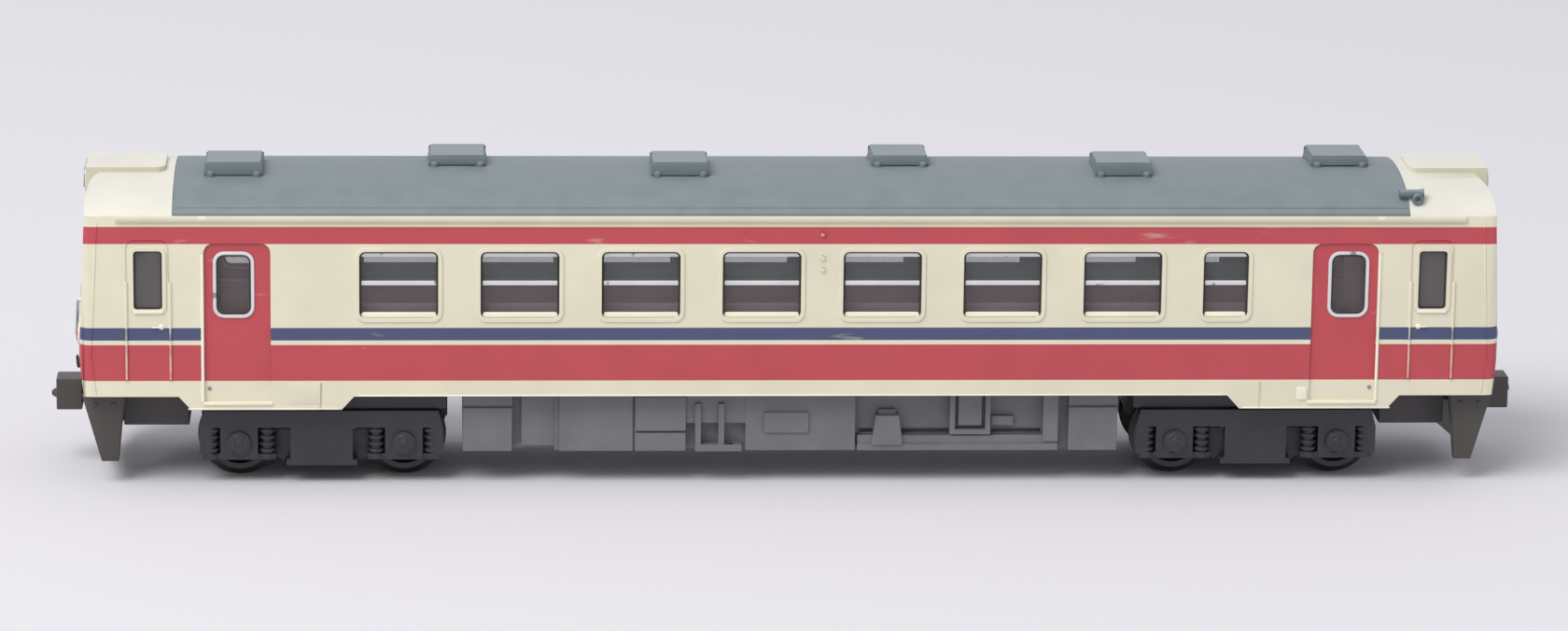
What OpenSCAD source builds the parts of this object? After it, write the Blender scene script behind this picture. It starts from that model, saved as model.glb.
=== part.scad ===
// Model railcar coach for 9 mm gauge track, with a driving cab at both ends.
// All sizes are in millimetres. X runs along the coach, Y across it and Z up.
// Z = 0 is the lowest point of the wheel flanges, and X = Y = 0 is the middle of the coach.
// End 1 is at -X and end 2 at +X. The near side is at -Y and the far side at +Y.

/* [Body shell] */
// Length over the end panels at their widest
body_l = 120.8; // [116:0.1:128]
// Width over the side walls
body_w = 18.7; // [18.2:0.1:20]
// Thickness of the side and end walls
wall_t = 0.9; // [0.7:0.05:1.1]
// Height of the sill above the flanges' lowest point
sill_z = 8.1; // [8:0.05:9]
// Height of the side walls from sill to eave
side_h = 15.7; // [15.4:0.1:17]
// Height of the widest line of the ends above the sill
waist_h = 3.4; // [2.5:0.1:4]
// Lean of the ends from the waist back to the eave
end_rake = 0.6; // [0.1:0.05:1.2]
// Tuck of the ends from the waist down to the sill
end_tuck = 0.4; // [0.1:0.05:0.8]
// Radius of the upright corners
corner_r = 1; // [0.5:0.05:1.5]
// Radius of the brow where the ends meet the cab roofs
brow_r = 1.5; // [0.8:0.1:2]
// Height of the gutter rib
gutter_h = 0.5; // [0.3:0.05:0.8]
// How far the gutter rib stands out of the side
gutter_out = 0.25; // [0.15:0.05:0.5]
// Distance of the gutter's ends from the ends of the body
gutter_from_end = 3.2; // [2:0.1:5]

/* [Skirts below the doors] */
// Length of a skirt along the sill
skirt_l = 14.8; // [12:0.1:16]
// How far a skirt reaches below the sill
skirt_drop = 1.15; // [0.8:0.05:1.2]
// How far a skirt's slanted end runs
skirt_slope = 1.05; // [0.5:0.05:3]
// Distance of a skirt's middle from the end of the body
skirt_from_end = 15.8; // [14.4:0.1:17.4]

/* [Roof] */
// Rise of the roof from eave to crown
roof_rise = 2.55; // [2.35:0.05:3.2]
// Thickness of the roof
roof_t = 0.8; // [0.6:0.05:1]
// Radius of the roof's shoulders
shoulder_r = 5; // [4:0.1:5.4]
// Slope of the roof at the eave, from the upright
eave_angle = 39; // [36:1:44]
// Length of each cab roof, from the end of the body to the roof panel
cab_roof_l = 8; // [7.8:0.1:9.4]
// Depth of the roof panel's clips below the eave
clip_h = 0.9; // [0.5:0.1:1.2]
// Thickness of a roof clip
clip_t = 0.6; // [0.4:0.05:0.7]
// Length of a roof clip
clip_l = 6; // [3:0.5:9]
// Spacing of the roof clips
clip_pitch = 26; // [18:1:28]

/* [Roof ventilators and horn] */
// Length of a ventilator at its foot
vent_l = 5.4; // [4:0.1:6]
// Width of a ventilator at its foot
vent_w = 5.3; // [4.2:0.1:5.6]
// Height of a ventilator above the crown
vent_h = 0.9; // [0.6:0.05:1.2]
// How much a ventilator's sides lean in, on each side
vent_lean = 0.4; // [0.1:0.05:0.6]
// Distance of the outer ventilators' middles from the ends of the roof panel
vent_from_end = 5; // [4.4:0.1:6]
// Distance of the ventilators from the middle line
vent_shift = 1.4; // [0.5:0.1:1.6]
// Length of the arch between a ventilator's feet
vent_arch_l = 2.8; // [1.6:0.1:3.4]
// Height of the arch above the crown
vent_arch_h = 0.05; // [0.02:0.01:0.2]
// Depth of the arch
vent_arch_d = 0.1; // [0.05:0.05:0.6]
// Radius of the peg that holds a ventilator
peg_r = 0.7; // [0.5:0.05:0.9]
// Distance of the horn's foot from the end of the body
horn_from_end = 7.3; // [6.8:0.1:7.5]
// How far the middle of the horn's tube lies behind its foot
horn_back = 0.5; // [0.2:0.1:0.7]
// Distance of the horn from the side of the body
horn_from_side = 1.25; // [1.1:0.05:2.5]
// Radius of the horn's tube
horn_r = 0.35; // [0.25:0.05:0.4]
// Radius of the horn's mouth
horn_mouth_r = 0.45; // [0.4:0.05:0.5]
// Length of the horn
horn_l = 2.1; // [1.6:0.1:3]
// Height of the horn's tube above the roof
horn_stand = 0.6; // [0.6:0.05:1]
// Radius of the horn's foot
horn_foot_r = 0.3; // [0.2:0.05:0.35]

/* [Side windows] */
// Width of a main window
win_w = 6.65; // [5.5:0.05:8]
// Height of the windows
win_h = 5.75; // [4.8:0.05:6.2]
// Height of the windows' lower edge above the sill
win_sill = 6.85; // [6.4:0.05:7.2]
// Number of main windows on a side
win_count = 7; // [4:1:7]
// Distance of the first main window's middle from the door's middle at end 1
win_from_door = 13.6; // [13:0.1:14]
// Distance of the last main window's middle from the small window's middle
win_from_small = 8.8; // [8.2:0.1:9.4]
// Corner radius of the windows
win_r = 0.5; // [0.2:0.05:0.9]
// Width of the small window
small_win_w = 3.85; // [3:0.05:4.4]
// Distance of the small window from end 2
small_win_from_end = 23.6; // [23:0.1:24.4]
// Width of the raised rim round a window
rim_w = 0.35; // [0.2:0.05:0.5]
// Height of the raised rim
rim_h = 0.12; // [0.05:0.01:0.2]
// Height of a sash bar on a main window's pane
sash_h = 0.38; // [0.2:0.02:0.5]
// Height of the middle sash bar's middle above the window's lower edge
sash_mid = 3; // [2.4:0.1:3.4]
// How far a sash bar stands out of its pane
sash_out = 0.08; // [0.04:0.01:0.15]
// Radius of a side lamp
side_lamp_r = 0.24; // [0.16:0.02:0.4]
// How far a side lamp stands out of the side
side_lamp_out = 0.15; // [0.05:0.05:0.25]

/* [Side doors] */
// Distance of a passenger door's middle from the end of the body
door_from_end = 13.4; // [12.7:0.1:13.9]
// Width of a passenger door
door_w = 5.6; // [5:0.1:6.2]
// How far a passenger door reaches below the sill
door_step = 0.43; // [0.2:0.01:0.6]
// Height of a passenger door's top above the sill
door_top = 13.3; // [13:0.1:14]
// Depth of the door recess
door_recess = 0.2; // [0.1:0.05:0.25]
// Radius of a door's upper corners
door_r = 0.8; // [0.4:0.1:1.2]
// Width of a passenger door's window
door_win_w = 3.2; // [2.6:0.05:3.8]
// Height of a passenger door's window
door_win_h = 5.46; // [4.6:0.02:5.8]
// Height of that window's lower edge above the sill
door_win_sill = 7; // [6.6:0.05:7.3]
// Corner radius of that window
door_win_r = 0.9; // [0.5:0.05:1.2]
// How far that window lies towards the end from the door's middle
door_win_shift = 0.3; // [0:0.05:0.4]
// Width of the frame on that window's pane
door_frame_w = 0.35; // [0.2:0.05:0.5]
// How far that frame stands out of its pane
door_frame_out = 0.15; // [0.05:0.01:0.2]
// Radius of the ridge along a passenger door's outer edge
ridge_r = 0.14; // [0.1:0.02:0.2]
// Distance of a cab door's middle from the end of the body
cab_from_end = 5.9; // [5.4:0.1:6.2]
// Width of a cab door
cab_w = 3.7; // [3.3:0.1:4]
// Height of a cab door's top above the sill
cab_top = 13.6; // [13:0.1:14]
// Width of the groove round a cab door
groove_w = 0.15; // [0.1:0.05:0.25]
// Depth of that groove
groove_d = 0.1; // [0.05:0.01:0.2]
// Width of a cab door's window
cab_win_w = 2.4; // [2:0.05:2.6]
// Height of a cab door's window
cab_win_h = 5.06; // [4.4:0.02:5.2]
// Height of that window's lower edge above the sill
cab_win_sill = 7.6; // [7:0.05:7.8]
// Corner radius of that window
cab_win_r = 0.3; // [0.15:0.05:0.6]
// Radius of a moulded handrail
rail_r = 0.16; // [0.1:0.02:0.24]
// Height of a handrail's lower end above the sill
rail_low = 1.5; // [1:0.1:2.5]
// Height of a handrail's upper end above the sill
rail_high = 10; // [8:0.1:11]

/* [Cab fronts] */
// Width of the gangway door
gangway_w = 5.6; // [5:0.1:6]
// Height of the gangway door's lower edge above the sill
gangway_low = 0.9; // [0.6:0.1:1.5]
// Height of the gangway door's top above the sill
gangway_top = 13.6; // [13.2:0.1:14]
// Depth of the gangway door's recess
gangway_recess = 0.2; // [0.1:0.05:0.25]
// Width of the gangway door's window
gangway_win_w = 3; // [2.4:0.1:3.6]
// Distance of a windscreen's middle from the side of the body
screen_from_side = 3.45; // [3.35:0.05:3.65]
// Width of a windscreen
screen_w = 4.1; // [3.4:0.1:4.2]
// Height of the front windows
screen_h = 5; // [4.4:0.1:5.4]
// Height of the front windows' lower edge above the sill
screen_sill = 7.6; // [7:0.1:8]
// Width of the lamp housing on the forehead
head_w = 6; // [5:0.1:7]
// Length of the lamp housing
head_l = 7.2; // [5:0.1:7.6]
// Rise of the lamp housing above the crown
head_rise = 0.3; // [0.2:0.05:0.5]
// How far the lamp housing stands out of the front
head_proud = 0.15; // [0.1:0.05:0.3]
// Depth of the lamp housing below its top
head_depth = 2.4; // [2.2:0.1:2.6]
// Radius of a headlamp lens's hole
headlamp_r = 0.75; // [0.5:0.05:0.85]
// Distance of a headlamp from the middle line
headlamp_y = 1.35; // [1:0.05:1.8]
// Length of a headlamp lens
headlamp_l = 1.4; // [1:0.1:2]
// Radius of a tail lamp's hole
tail_r = 0.7; // [0.5:0.05:0.9]
// Distance of a tail lamp from the side of the body
tail_from_side = 2.75; // [2.2:0.05:3.3]
// Height of a tail lamp above the sill
tail_h = 4.9; // [4.6:0.1:5.5]
// How far a tail lamp lens stands out of the front
tail_proud = 0.2; // [0.1:0.05:0.4]

/* [Glazing] */
// Thickness of the clear strips behind the walls
glazing_t = 0.6; // [0.4:0.05:0.8]
// How far the panes lie below the wall's outer face
pane_recess = 0.3; // [0.27:0.01:0.45]
// How far the strips reach above and below the windows
glazing_lap = 0.6; // [0.3:0.05:0.7]

/* [Chassis and interior] */
// Thickness of the floor plate
floor_t = 1.2; // [0.9:0.05:1.5]
// How far the floor plate shows below the sill
floor_drop = 0.1; // [0.05:0.05:0.2]
// Gap between the floor's ends and the end walls
floor_end_gap = 0.9; // [0.5:0.1:1.2]
// Length of a ledge that the floor clips under
ledge_l = 6; // [4:0.5:8]
// Depth of a ledge
ledge_d = 0.5; // [0.3:0.05:0.6]
// Height of a ledge
ledge_h = 0.8; // [0.5:0.1:1.2]
// Spacing of the ledges
ledge_pitch = 24; // [18:1:28]
// Length of the ballast plate
ballast_l = 64; // [50:1:72]
// Width of the ballast plate
ballast_w = 12.6; // [10:0.1:13]
// Thickness of the ballast plate
ballast_t = 1; // [0.6:0.1:1.2]
// Gap between the seat moulding's ends and the end walls
seats_end_gap = 1.6; // [1.3:0.1:2.5]
// Distance of the cab bulkheads from the moulding's ends
cab_l = 7; // [6.5:0.1:8]
// Thickness of the seat moulding's base
seats_base_t = 1.7; // [1.5:0.1:2]
// Thickness of the seat moulding's side walls
seats_wall_t = 0.7; // [0.5:0.05:1]
// Width of a bench
bench_w = 4.8; // [4:0.1:5]
// Depth of a bench on one side of its back
bench_d = 2.2; // [1.6:0.1:2.6]
// Height of a bench above the base
bench_h = 1.9; // [1.4:0.1:2.4]
// Height of a seat back above the base
back_h = 4.4; // [3.6:0.1:5]
// Thickness of a seat back
back_t = 0.9; // [0.6:0.1:1.2]
// Height of the cab bulkheads above the base
bulkhead_h = 8.5; // [6:0.1:9]
// Depth of the driver's desk
desk_d = 1.6; // [1:0.1:2.2]
// Height of the driver's desk above the base
desk_h = 4; // [3:0.1:4.4]

/* [Underfloor equipment] */
// Width over the equipment's boxes
equip_w = 15.6; // [14:0.1:16.5]
// Height of the equipment's underside
equip_z = 2.9; // [2.4:0.05:3.4]
// Depth of the relief between the boxes
relief_d = 1; // [0.7:0.05:1.2]
// Gap between the equipment and a bogie at full swivel
equip_gap = 0.45; // [0.3:0.05:1]
// Length of an end box
end_box_l = 4.2; // [3:0.1:4.4]
// Wall between two moulding pockets
rib_t = 1.4; // [1:0.1:2]
// Number of pockets along each side
pocket_count = 6; // [5:1:8]
// Depth left below a pocket
pocket_floor = 1.2; // [0.9:0.1:2]
// Radius of the pegs that hold the equipment to the floor
equip_peg_r = 1; // [0.7:0.05:1.3]
// Spacing of those pegs
equip_peg_pitch = 36; // [30:0.5:40]

/* [Bogies] */
// Distance of a bogie's pivot from the end of the body
bogie_from_end = 20.4; // [20:0.1:21.4]
// Length of a bogie's side frame
bogie_l = 20.7; // [19.6:0.1:21]
// Distance between the axles of a bogie
wheelbase = 14; // [13.4:0.1:14.4]
// Thickness of a side frame
frame_t = 1.3; // [1.1:0.05:1.5]
// Height of the side frame's top above the axles
frame_top_h = 2.8; // [2.4:0.05:2.9]
// Depth of the side frame's beam
beam_h = 1.5; // [1.2:0.05:1.8]
// Length of the spring plank in the middle of a side frame
plank_l = 6; // [5:0.1:6.4]
// Depth of the spring plank below the axles
plank_drop = 2; // [1.4:0.1:2.2]
// Length of an axle box
axle_box_l = 3.2; // [2.8:0.1:3.6]
// Depth of an axle box below the axle
axle_box_drop = 1.5; // [1.1:0.1:1.8]
// Radius of an axle box cap
cap_r = 1; // [0.8:0.05:1.2]
// How far a cap stands out of the frame
cap_out = 0.35; // [0.2:0.05:0.5]
// Radius of a moulded spring
spring_r = 0.72; // [0.5:0.02:0.74]
// Radius of the moulded spring's grooves
spring_groove_r = 0.5; // [0.35:0.05:0.6]
// Number of rings in a moulded spring
spring_rings = 4; // [3:1:6]
// Half the length of the bolster along the coach
bolster_half_l = 2.6; // [2.2:0.1:2.8]
// Thickness of the bolster
bolster_t = 1.4; // [1.2:0.05:1.6]
// How far the gear cover between the wheels reaches from the pivot towards the coach's middle
cover_in = 10.7; // [9:0.1:10.8]
// How far the gear cover reaches from the pivot towards the coach's end
cover_out = 9.6; // [9:0.1:10]
// Radius of the pivot screw
screw_r = 1; // [0.8:0.05:1.2]
// Radius of the pivot screw's head
screw_head_r = 1.7; // [1.4:0.05:2]
// Thickness of the pivot screw's head
screw_head_t = 0.7; // [0.5:0.05:0.9]
// Radius of the floor's pivot boss
boss_r = 2.4; // [2:0.1:2.8]
// Swivel of a bogie to each side, in degrees
swivel = 10; // [6:1:10]

/* [Wheelsets] */
// Diameter of the wheel treads
tread_d = 5.6; // [5.2:0.1:5.8]
// Height of the flanges
flange_h = 0.8; // [0.5:0.05:0.85]
// Distance between the wheels' inner faces
back_to_back = 7.4; // [7.3:0.05:7.6]
// Width of a wheel
wheel_w = 2.1; // [1.8:0.05:2.3]
// Width of a flange
flange_w = 0.6; // [0.5:0.05:0.7]
// Radius of a wheel's hub
hub_r = 1.25; // [1.05:0.05:1.5]
// Depth of the dish in a wheel's outer face
dish_d = 0.45; // [0.2:0.05:0.7]
// Width of a wheel's rim
rim_t = 0.55; // [0.4:0.05:0.8]
// Radius of an axle
axle_r = 0.75; // [0.6:0.05:0.85]
// Radius of an axle's journals
journal_r = 0.45; // [0.35:0.05:0.5]
// Length of a journal inside its bearing
journal_l = 0.65; // [0.5:0.05:0.75]
// Length of a journal's pointed tip
tip_l = 0.2; // [0.1:0.05:0.3]
// Radius of a journal's tip
tip_r = 0.15; // [0.1:0.05:0.25]
// Gap between a wheel and its side frame
wheel_side_gap = 0.4; // [0.3:0.05:0.6]

/* [Couplers and ploughs] */
// Height of the couplers
coupler_z = 6.3; // [6.2:0.05:6.5]
// Distance of a coupler's pivot from the end of the body
coupler_from_end = 6.2; // [5.8:0.1:6.4]
// Swing of a coupler to each side, in degrees
coupler_swing = 12; // [6:1:12]
// How far a coupler reaches past the end of the body
coupler_reach = 2.8; // [2.4:0.1:3.6]
// Length of a coupler's head
coupler_head_l = 2.6; // [2.2:0.1:2.8]
// Width of a coupler's head
coupler_head_w = 2.6; // [2.2:0.1:2.8]
// Height of a coupler's head
coupler_head_h = 2.75; // [2.4:0.05:3]
// Length of the guide cone on a coupler's face
coupler_cone_l = 0.4; // [0.3:0.05:0.8]
// Width of a coupler's shank
shank_w = 1.6; // [1.2:0.1:1.8]
// Thickness of a coupler's shank and eye
shank_t = 1.6; // [1.2:0.1:1.8]
// Radius of a coupler's eye
eye_r = 1.3; // [1.1:0.05:1.4]
// Depth of the flat on the eye that the leaf spring faces
eye_flat_d = 0.1; // [0.05:0.01:0.15]
// Radius of a coupler's pin
pin_r = 0.6; // [0.5:0.05:0.7]
// Radius of the pin's head
pin_head_r = 1.05; // [0.9:0.05:1.3]
// Thickness of the pin's head
pin_head_t = 0.4; // [0.3:0.05:0.6]
// Length of a coupler box
box_l = 5.6; // [5.2:0.1:5.8]
// Width of a coupler box
box_w = 4.4; // [4.2:0.1:4.8]
// Wall of a coupler box
box_wall = 0.6; // [0.5:0.05:0.7]
// Depth of a coupler box below the floor
box_drop = 4.2; // [4:0.05:4.6]
// Thickness of a leaf spring
leaf_t = 0.15; // [0.1:0.01:0.2]
// Height of a leaf spring
leaf_h = 1.2; // [0.8:0.1:1.4]
// How far a leaf spring's ends lie in the box's walls
leaf_seat = 0.3; // [0.15:0.05:0.35]
// Distance of a plough's side plates from the sides of the body
plough_from_side = 1.95; // [1.4:0.05:3]
// Height of a plough's lower edge
plough_z = 2; // [1.6:0.1:2.4]
// Thickness of a plough's plates
plough_t = 0.9; // [0.6:0.1:1.2]
// Distance of a plough's nose from the end of the body, outwards
plough_nose = 0.5; // [0.1:0.1:0.8]
// How far a plough's front sweeps back to its corners
plough_sweep = 1; // [0.4:0.1:1.6]
// Length of a plough's side plates at the top
plough_side_l = 3.3; // [2.2:0.1:3.4]
// Length of a plough's side plates at the lower edge
plough_low_l = 1; // [0.6:0.1:2]
// How much a plough's front leans back towards its lower edge
plough_lean = 1.7; // [0.5:0.1:2]

/* [Clearances] */
// Gap round pieces that are pressed or clipped together
fit_gap = 0.03; // [0.02:0.01:0.05]
// Gap round pieces that turn on one another
run_gap = 0.05; // [0.03:0.01:0.08]
// Gap that keeps moving pieces clear of what they pass
swing_gap = 0.3; // [0.2:0.05:0.4]

/* [Hidden] */

$fn = 48;
// A length that is larger than the whole coach, for cuts that run right through
through = 2 * body_l;
// How far a shape runs into its neighbour, so that the two become one solid
bite = 0.2;

// Heights
eave_z = sill_z + side_h;
roof_z = eave_z + roof_rise;
skirt_z = sill_z - skirt_drop;
floor_z = sill_z - floor_drop;
floor_top = floor_z + floor_t;
axle_z = tread_d / 2 + flange_h;
frame_top = axle_z + frame_top_h;
head_top = roof_z + head_rise;
win_low = sill_z + win_sill;
win_high = win_low + win_h;

// Half widths and places along the coach
half_l = body_l / 2;
half_w = body_w / 2;
inner_half_w = half_w - wall_t;
horn_y = half_w - horn_from_side;
screen_y = half_w - screen_from_side;
tail_y = half_w - tail_from_side;
plough_half_w = half_w - plough_from_side;
panel_half_l = half_l - cab_roof_l;
door_x = half_l - door_from_end;
cab_x = half_l - cab_from_end;
skirt_x = half_l - skirt_from_end;
small_win_x = half_l - small_win_from_end;
win_first_x = win_from_door - door_x;
win_pitch = (small_win_x - win_from_small - win_first_x) / (win_count - 1);
bogie_x = half_l - bogie_from_end;
coupler_x = half_l - coupler_from_end;

// The roof is two arcs: a shoulder from the eave, and a crown that meets it smoothly
shoulder_y = half_w - shoulder_r * cos(eave_angle);
shoulder_z = eave_z - shoulder_r * sin(eave_angle);
shoulder_rise = roof_z - shoulder_z;
crown_r = (pow(shoulder_y, 2) + pow(shoulder_rise, 2) - pow(shoulder_r, 2))
    / (2 * (shoulder_rise - shoulder_r));
crown_z = roof_z - crown_r;
crown_angle = asin(shoulder_y / (crown_r - shoulder_r));
shoulder_steps = 8;
crown_steps = 6;

// Points on an arc, from one angle to another
function arc(cx, cy, r, from, to, steps) =
    [for (i = [0:steps]) let (a = from + (to - from) * i / steps) [cx + r * cos(a), cy + r * sin(a)]];

// Right half of the roof line, set in from the outside, starting at an angle on the shoulder
function roof_line(inset, from) = concat(
    arc(shoulder_y, shoulder_z, shoulder_r - inset, from, 90 - crown_angle, shoulder_steps),
    [for (i = [1:crown_steps]) let (a = 90 - crown_angle * (1 - i / crown_steps))
        [(crown_r - inset) * cos(a), crown_z + (crown_r - inset) * sin(a)]]);

// Angle on the shoulder where the roof line crosses the eave's height
function eave_start(inset) = asin((eave_z - shoulder_z) / (shoulder_r - inset));

// A closed outline from its right half, which ends on the middle line
function both_halves(half) = concat(half, [for (i = [len(half) - 2:-1:0]) [-half[i][0], half[i][1]]]);

// A closed outline from its right half, which stays clear of the middle line
function both_sides(half) = concat(half, [for (i = [len(half) - 1:-1:0]) [-half[i][0], half[i][1]]]);

// Height of the roof's outer face at a distance from the middle line
function roof_height(y) =
    abs(y) < crown_r * sin(crown_angle) ? crown_z + sqrt(pow(crown_r, 2) - pow(y, 2))
    : shoulder_z + sqrt(pow(shoulder_r, 2) - pow(abs(y) - shoulder_y, 2));

// A rectangle with round corners, given its middle, its size and its radius
function round_box(cx, cy, w, h, r) = let (x = w / 2 - r, y = h / 2 - r) concat(
    arc(cx + x, cy + y, r, 0, 90, corner_steps), arc(cx - x, cy + y, r, 90, 180, corner_steps),
    arc(cx - x, cy - y, r, 180, 270, corner_steps), arc(cx + x, cy - y, r, 270, 360, corner_steps));
corner_steps = 5;

// Outline of an end in the side view, from sill to brow, set in from the outside
brow_angle = 60;
brow_drop = 0.35;
brow_run = 3;
brow_x = half_l - end_rake - brow_r;
brow_z = roof_z - brow_drop - brow_r * sin(brow_angle);
function end_line(inset) = concat(
    [[half_l - end_tuck - inset, sill_z], [half_l - inset, sill_z + waist_h],
     [half_l - end_rake - inset, eave_z]],
    arc(brow_x - inset, brow_z, brow_r, 0, brow_angle, corner_steps),
    [[brow_x - inset + brow_r * cos(brow_angle) - brow_run * sin(brow_angle),
      brow_z + brow_r * sin(brow_angle) + brow_run * cos(brow_angle)]]);

// Outline of a skirt's right-hand place below the sill
skirt_line = [
    [skirt_x - skirt_l / 2, sill_z], [skirt_x - skirt_l / 2 + skirt_slope, skirt_z],
    [skirt_x + skirt_l / 2 - skirt_slope, skirt_z], [skirt_x + skirt_l / 2, sill_z]];

// Angle where the ceiling meets the inner face of a side wall
ceiling_start = acos((inner_half_w - shoulder_y) / (shoulder_r - roof_t));

// Extrude an outline of Y and Z along X, or of X and Z along Y, about the middle
module along_x(length) { rotate([90, 0, 90]) linear_extrude(height = length, center = true) children(); }
module along_y(length) { rotate([90, 0, 0]) linear_extrude(height = length, center = true) children(); }

// A block from its lowest corner to its highest one
module block(low, high) { translate(low) cube(high - low); }

// Turn what is drawn for end 2 round to end 1
module at_end(end) { rotate([0, 0, end == 1 ? 180 : 0]) children(); }

// The whole outer form of the body, without openings
module body_form() {
    intersection() {
        along_x(through) polygon(both_halves(concat([[half_w, 0]], roof_line(0, eave_angle))));
        along_y(through) polygon(both_sides(concat(skirt_line, end_line(0))));
        linear_extrude(height = 2 * roof_z) polygon(round_box(0, 0, body_l, body_w, corner_r));
    }
}

// The hollow inside the body, open below
module body_hollow() {
    intersection() {
        along_x(through)
            polygon(both_halves(concat([[inner_half_w, 0]], roof_line(roof_t, ceiling_start))));
        along_y(through)
            polygon(both_sides(concat([[half_l - end_tuck - wall_t, 0]], end_line(wall_t))));
    }
}

// Windows along a side, each grown by a margin
module main_windows(grow) {
    for (i = [0:win_count - 1])
        polygon(round_box(win_first_x + i * win_pitch, win_low + win_h / 2,
            win_w + 2 * grow, win_h + 2 * grow, win_r + grow));
    polygon(round_box(small_win_x, win_low + win_h / 2,
        small_win_w + 2 * grow, win_h + 2 * grow, win_r + grow));
}

module door_windows(grow) {
    for (x = [-door_x - door_win_shift, door_x + door_win_shift])
        polygon(round_box(x, sill_z + door_win_sill + door_win_h / 2,
            door_win_w + 2 * grow, door_win_h + 2 * grow, door_win_r + grow));
}

module cab_windows(grow) {
    for (x = [-cab_x, cab_x])
        polygon(round_box(x, sill_z + cab_win_sill + cab_win_h / 2,
            cab_win_w + 2 * grow, cab_win_h + 2 * grow, cab_win_r + grow));
}

module side_openings(grow) {
    main_windows(grow);
    door_windows(grow);
    cab_windows(grow);
}

// A door's outline: square below, with round corners above
function door_line(x, w, low, high, r) = concat(
    [[x - w / 2, low], [x + w / 2, low]],
    arc(x + w / 2 - r, high - r, r, 0, 90, corner_steps),
    arc(x - w / 2 + r, high - r, r, 90, 180, corner_steps));

// What a shallow cut takes off the outer faces of both sides
module side_cut(depth) {
    difference() {
        along_y(2 * body_w) children();
        cube([through, body_w - 2 * depth, through], center = true);
    }
}

module door_recesses() {
    side_cut(door_recess)
        for (x = [-door_x, door_x])
            polygon(door_line(x, door_w, sill_z - door_step, sill_z + door_top, door_r));
}

module cab_door_grooves() {
    side_cut(groove_d) {
        for (x = [-cab_x, cab_x]) {
            difference() {
                polygon(door_line(x, cab_w, sill_z + rail_high, sill_z + cab_top, door_r));
                polygon(door_line(x, cab_w - 2 * groove_w, 0, sill_z + cab_top - groove_w,
                    door_r - groove_w));
            }
        }
    }
}

module handrails() {
    for (x = [-cab_x, cab_x], dx = [-cab_w / 2, cab_w / 2], y = [-half_w, half_w])
        translate([x + dx, y, sill_z + rail_low]) cylinder(r = rail_r, h = rail_high - rail_low);
}

// A ridge along the outer edge of each passenger door
module door_ridges() {
    for (x = [-1, 1], y = [-half_w, half_w])
        translate([x * (door_x + door_w / 2 + ridge_r), y, sill_z - door_step])
            cylinder(r = ridge_r, h = door_step + door_top - door_r);
}

// Upright joints between the panels of the sill, above the bogies
module panel_joints() {
    side_cut(groove_d)
        for (x = [-bogie_x, bogie_x])
            translate([x, sill_z]) square([groove_w, 2 * skirt_drop], center = true);
}

// Small round lamps on the pillar in the middle of the window row, and one above it
side_lamp_heights = [11.1, 12.1, 14.1];
module side_lamps() {
    x = win_first_x + win_count / 2 * win_pitch;
    for (h = side_lamp_heights)
        translate([x, 0, sill_z + h])
            rotate([90, 0, 0]) cylinder(r = side_lamp_r, h = body_w + 2 * side_lamp_out, center = true);
}

module gutters() {
    block([gutter_from_end - half_l, -half_w - gutter_out, eave_z - gutter_h],
          [half_l - gutter_from_end, half_w + gutter_out, eave_z]);
}

module floor_ledges() {
    for (i = [-1.5:1:1.5], s = [0, 1])
        mirror([0, s, 0])
            block([i * ledge_pitch - ledge_l / 2, inner_half_w - ledge_d, floor_top],
                  [i * ledge_pitch + ledge_l / 2, inner_half_w + bite, floor_top + ledge_h]);
}

// Everything in front of the end's outer face set in by a depth, at end 2
module end_block(inset) {
    along_y(through) polygon(concat([[0, sill_z]], end_line(inset), [[0, 2 * roof_z]]));
}

// A layer of the end between two depths
module end_layer(from, to) {
    difference() {
        end_block(from);
        translate([-bite, 0, 0]) end_block(to - bite);
        block([-bite, -through, 0], [half_l / 2, through, through]);
    }
}

module front_windows(grow) {
    mid_z = sill_z + screen_sill + screen_h / 2;
    for (y = [-screen_y, screen_y])
        polygon(round_box(y, mid_z, screen_w + 2 * grow, screen_h + 2 * grow, win_r + grow));
    polygon(round_box(0, mid_z, gangway_win_w + 2 * grow, screen_h + 2 * grow, win_r + grow));
}

// The part of end 2 that a cut along X may reach
module end_zone() { translate([half_l, 0, 0]) along_x(2 * head_l) children(); }

module front_openings() {
    end_zone() front_windows(0);
    difference() {
        end_zone()
            polygon(round_box(0, sill_z + (gangway_low + gangway_top) / 2, gangway_w,
                gangway_top - gangway_low, win_r));
        end_block(gangway_recess);
    }
    for (y = [-tail_y, tail_y])
        translate([half_l - 2 * wall_t, y, sill_z + tail_h])
            rotate([0, 90, 0]) cylinder(r = tail_r, h = 4 * wall_t);
}

// Lamp housing on the forehead, at end 2
head_front = half_l - end_rake + head_proud;
head_round = 0.8;
head_back = half_l - head_l + head_round;
headlamp_z = head_top - head_depth / 2;
module lamp_housing() {
    translate([0, 0, head_top - head_depth])
        linear_extrude(height = head_depth)
            polygon(concat(
                [[head_front, -head_w / 2], [head_front, head_w / 2]],
                arc(head_back, head_w / 2 - head_round, head_round, 90, 180, corner_steps),
                arc(head_back, head_round - head_w / 2, head_round, 180, 270, corner_steps)));
}

module headlamp_holes() {
    for (y = [-headlamp_y, headlamp_y])
        translate([head_front - headlamp_l, y, headlamp_z])
            rotate([0, 90, 0]) cylinder(r = headlamp_r, h = 2 * headlamp_l);
}

module horn_peg(gap) {
    translate([half_l - horn_from_end, -horn_y, roof_height(horn_y) - roof_t / 2])
        cylinder(r = horn_foot_r + gap, h = roof_t / 2 + horn_stand);
}

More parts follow.
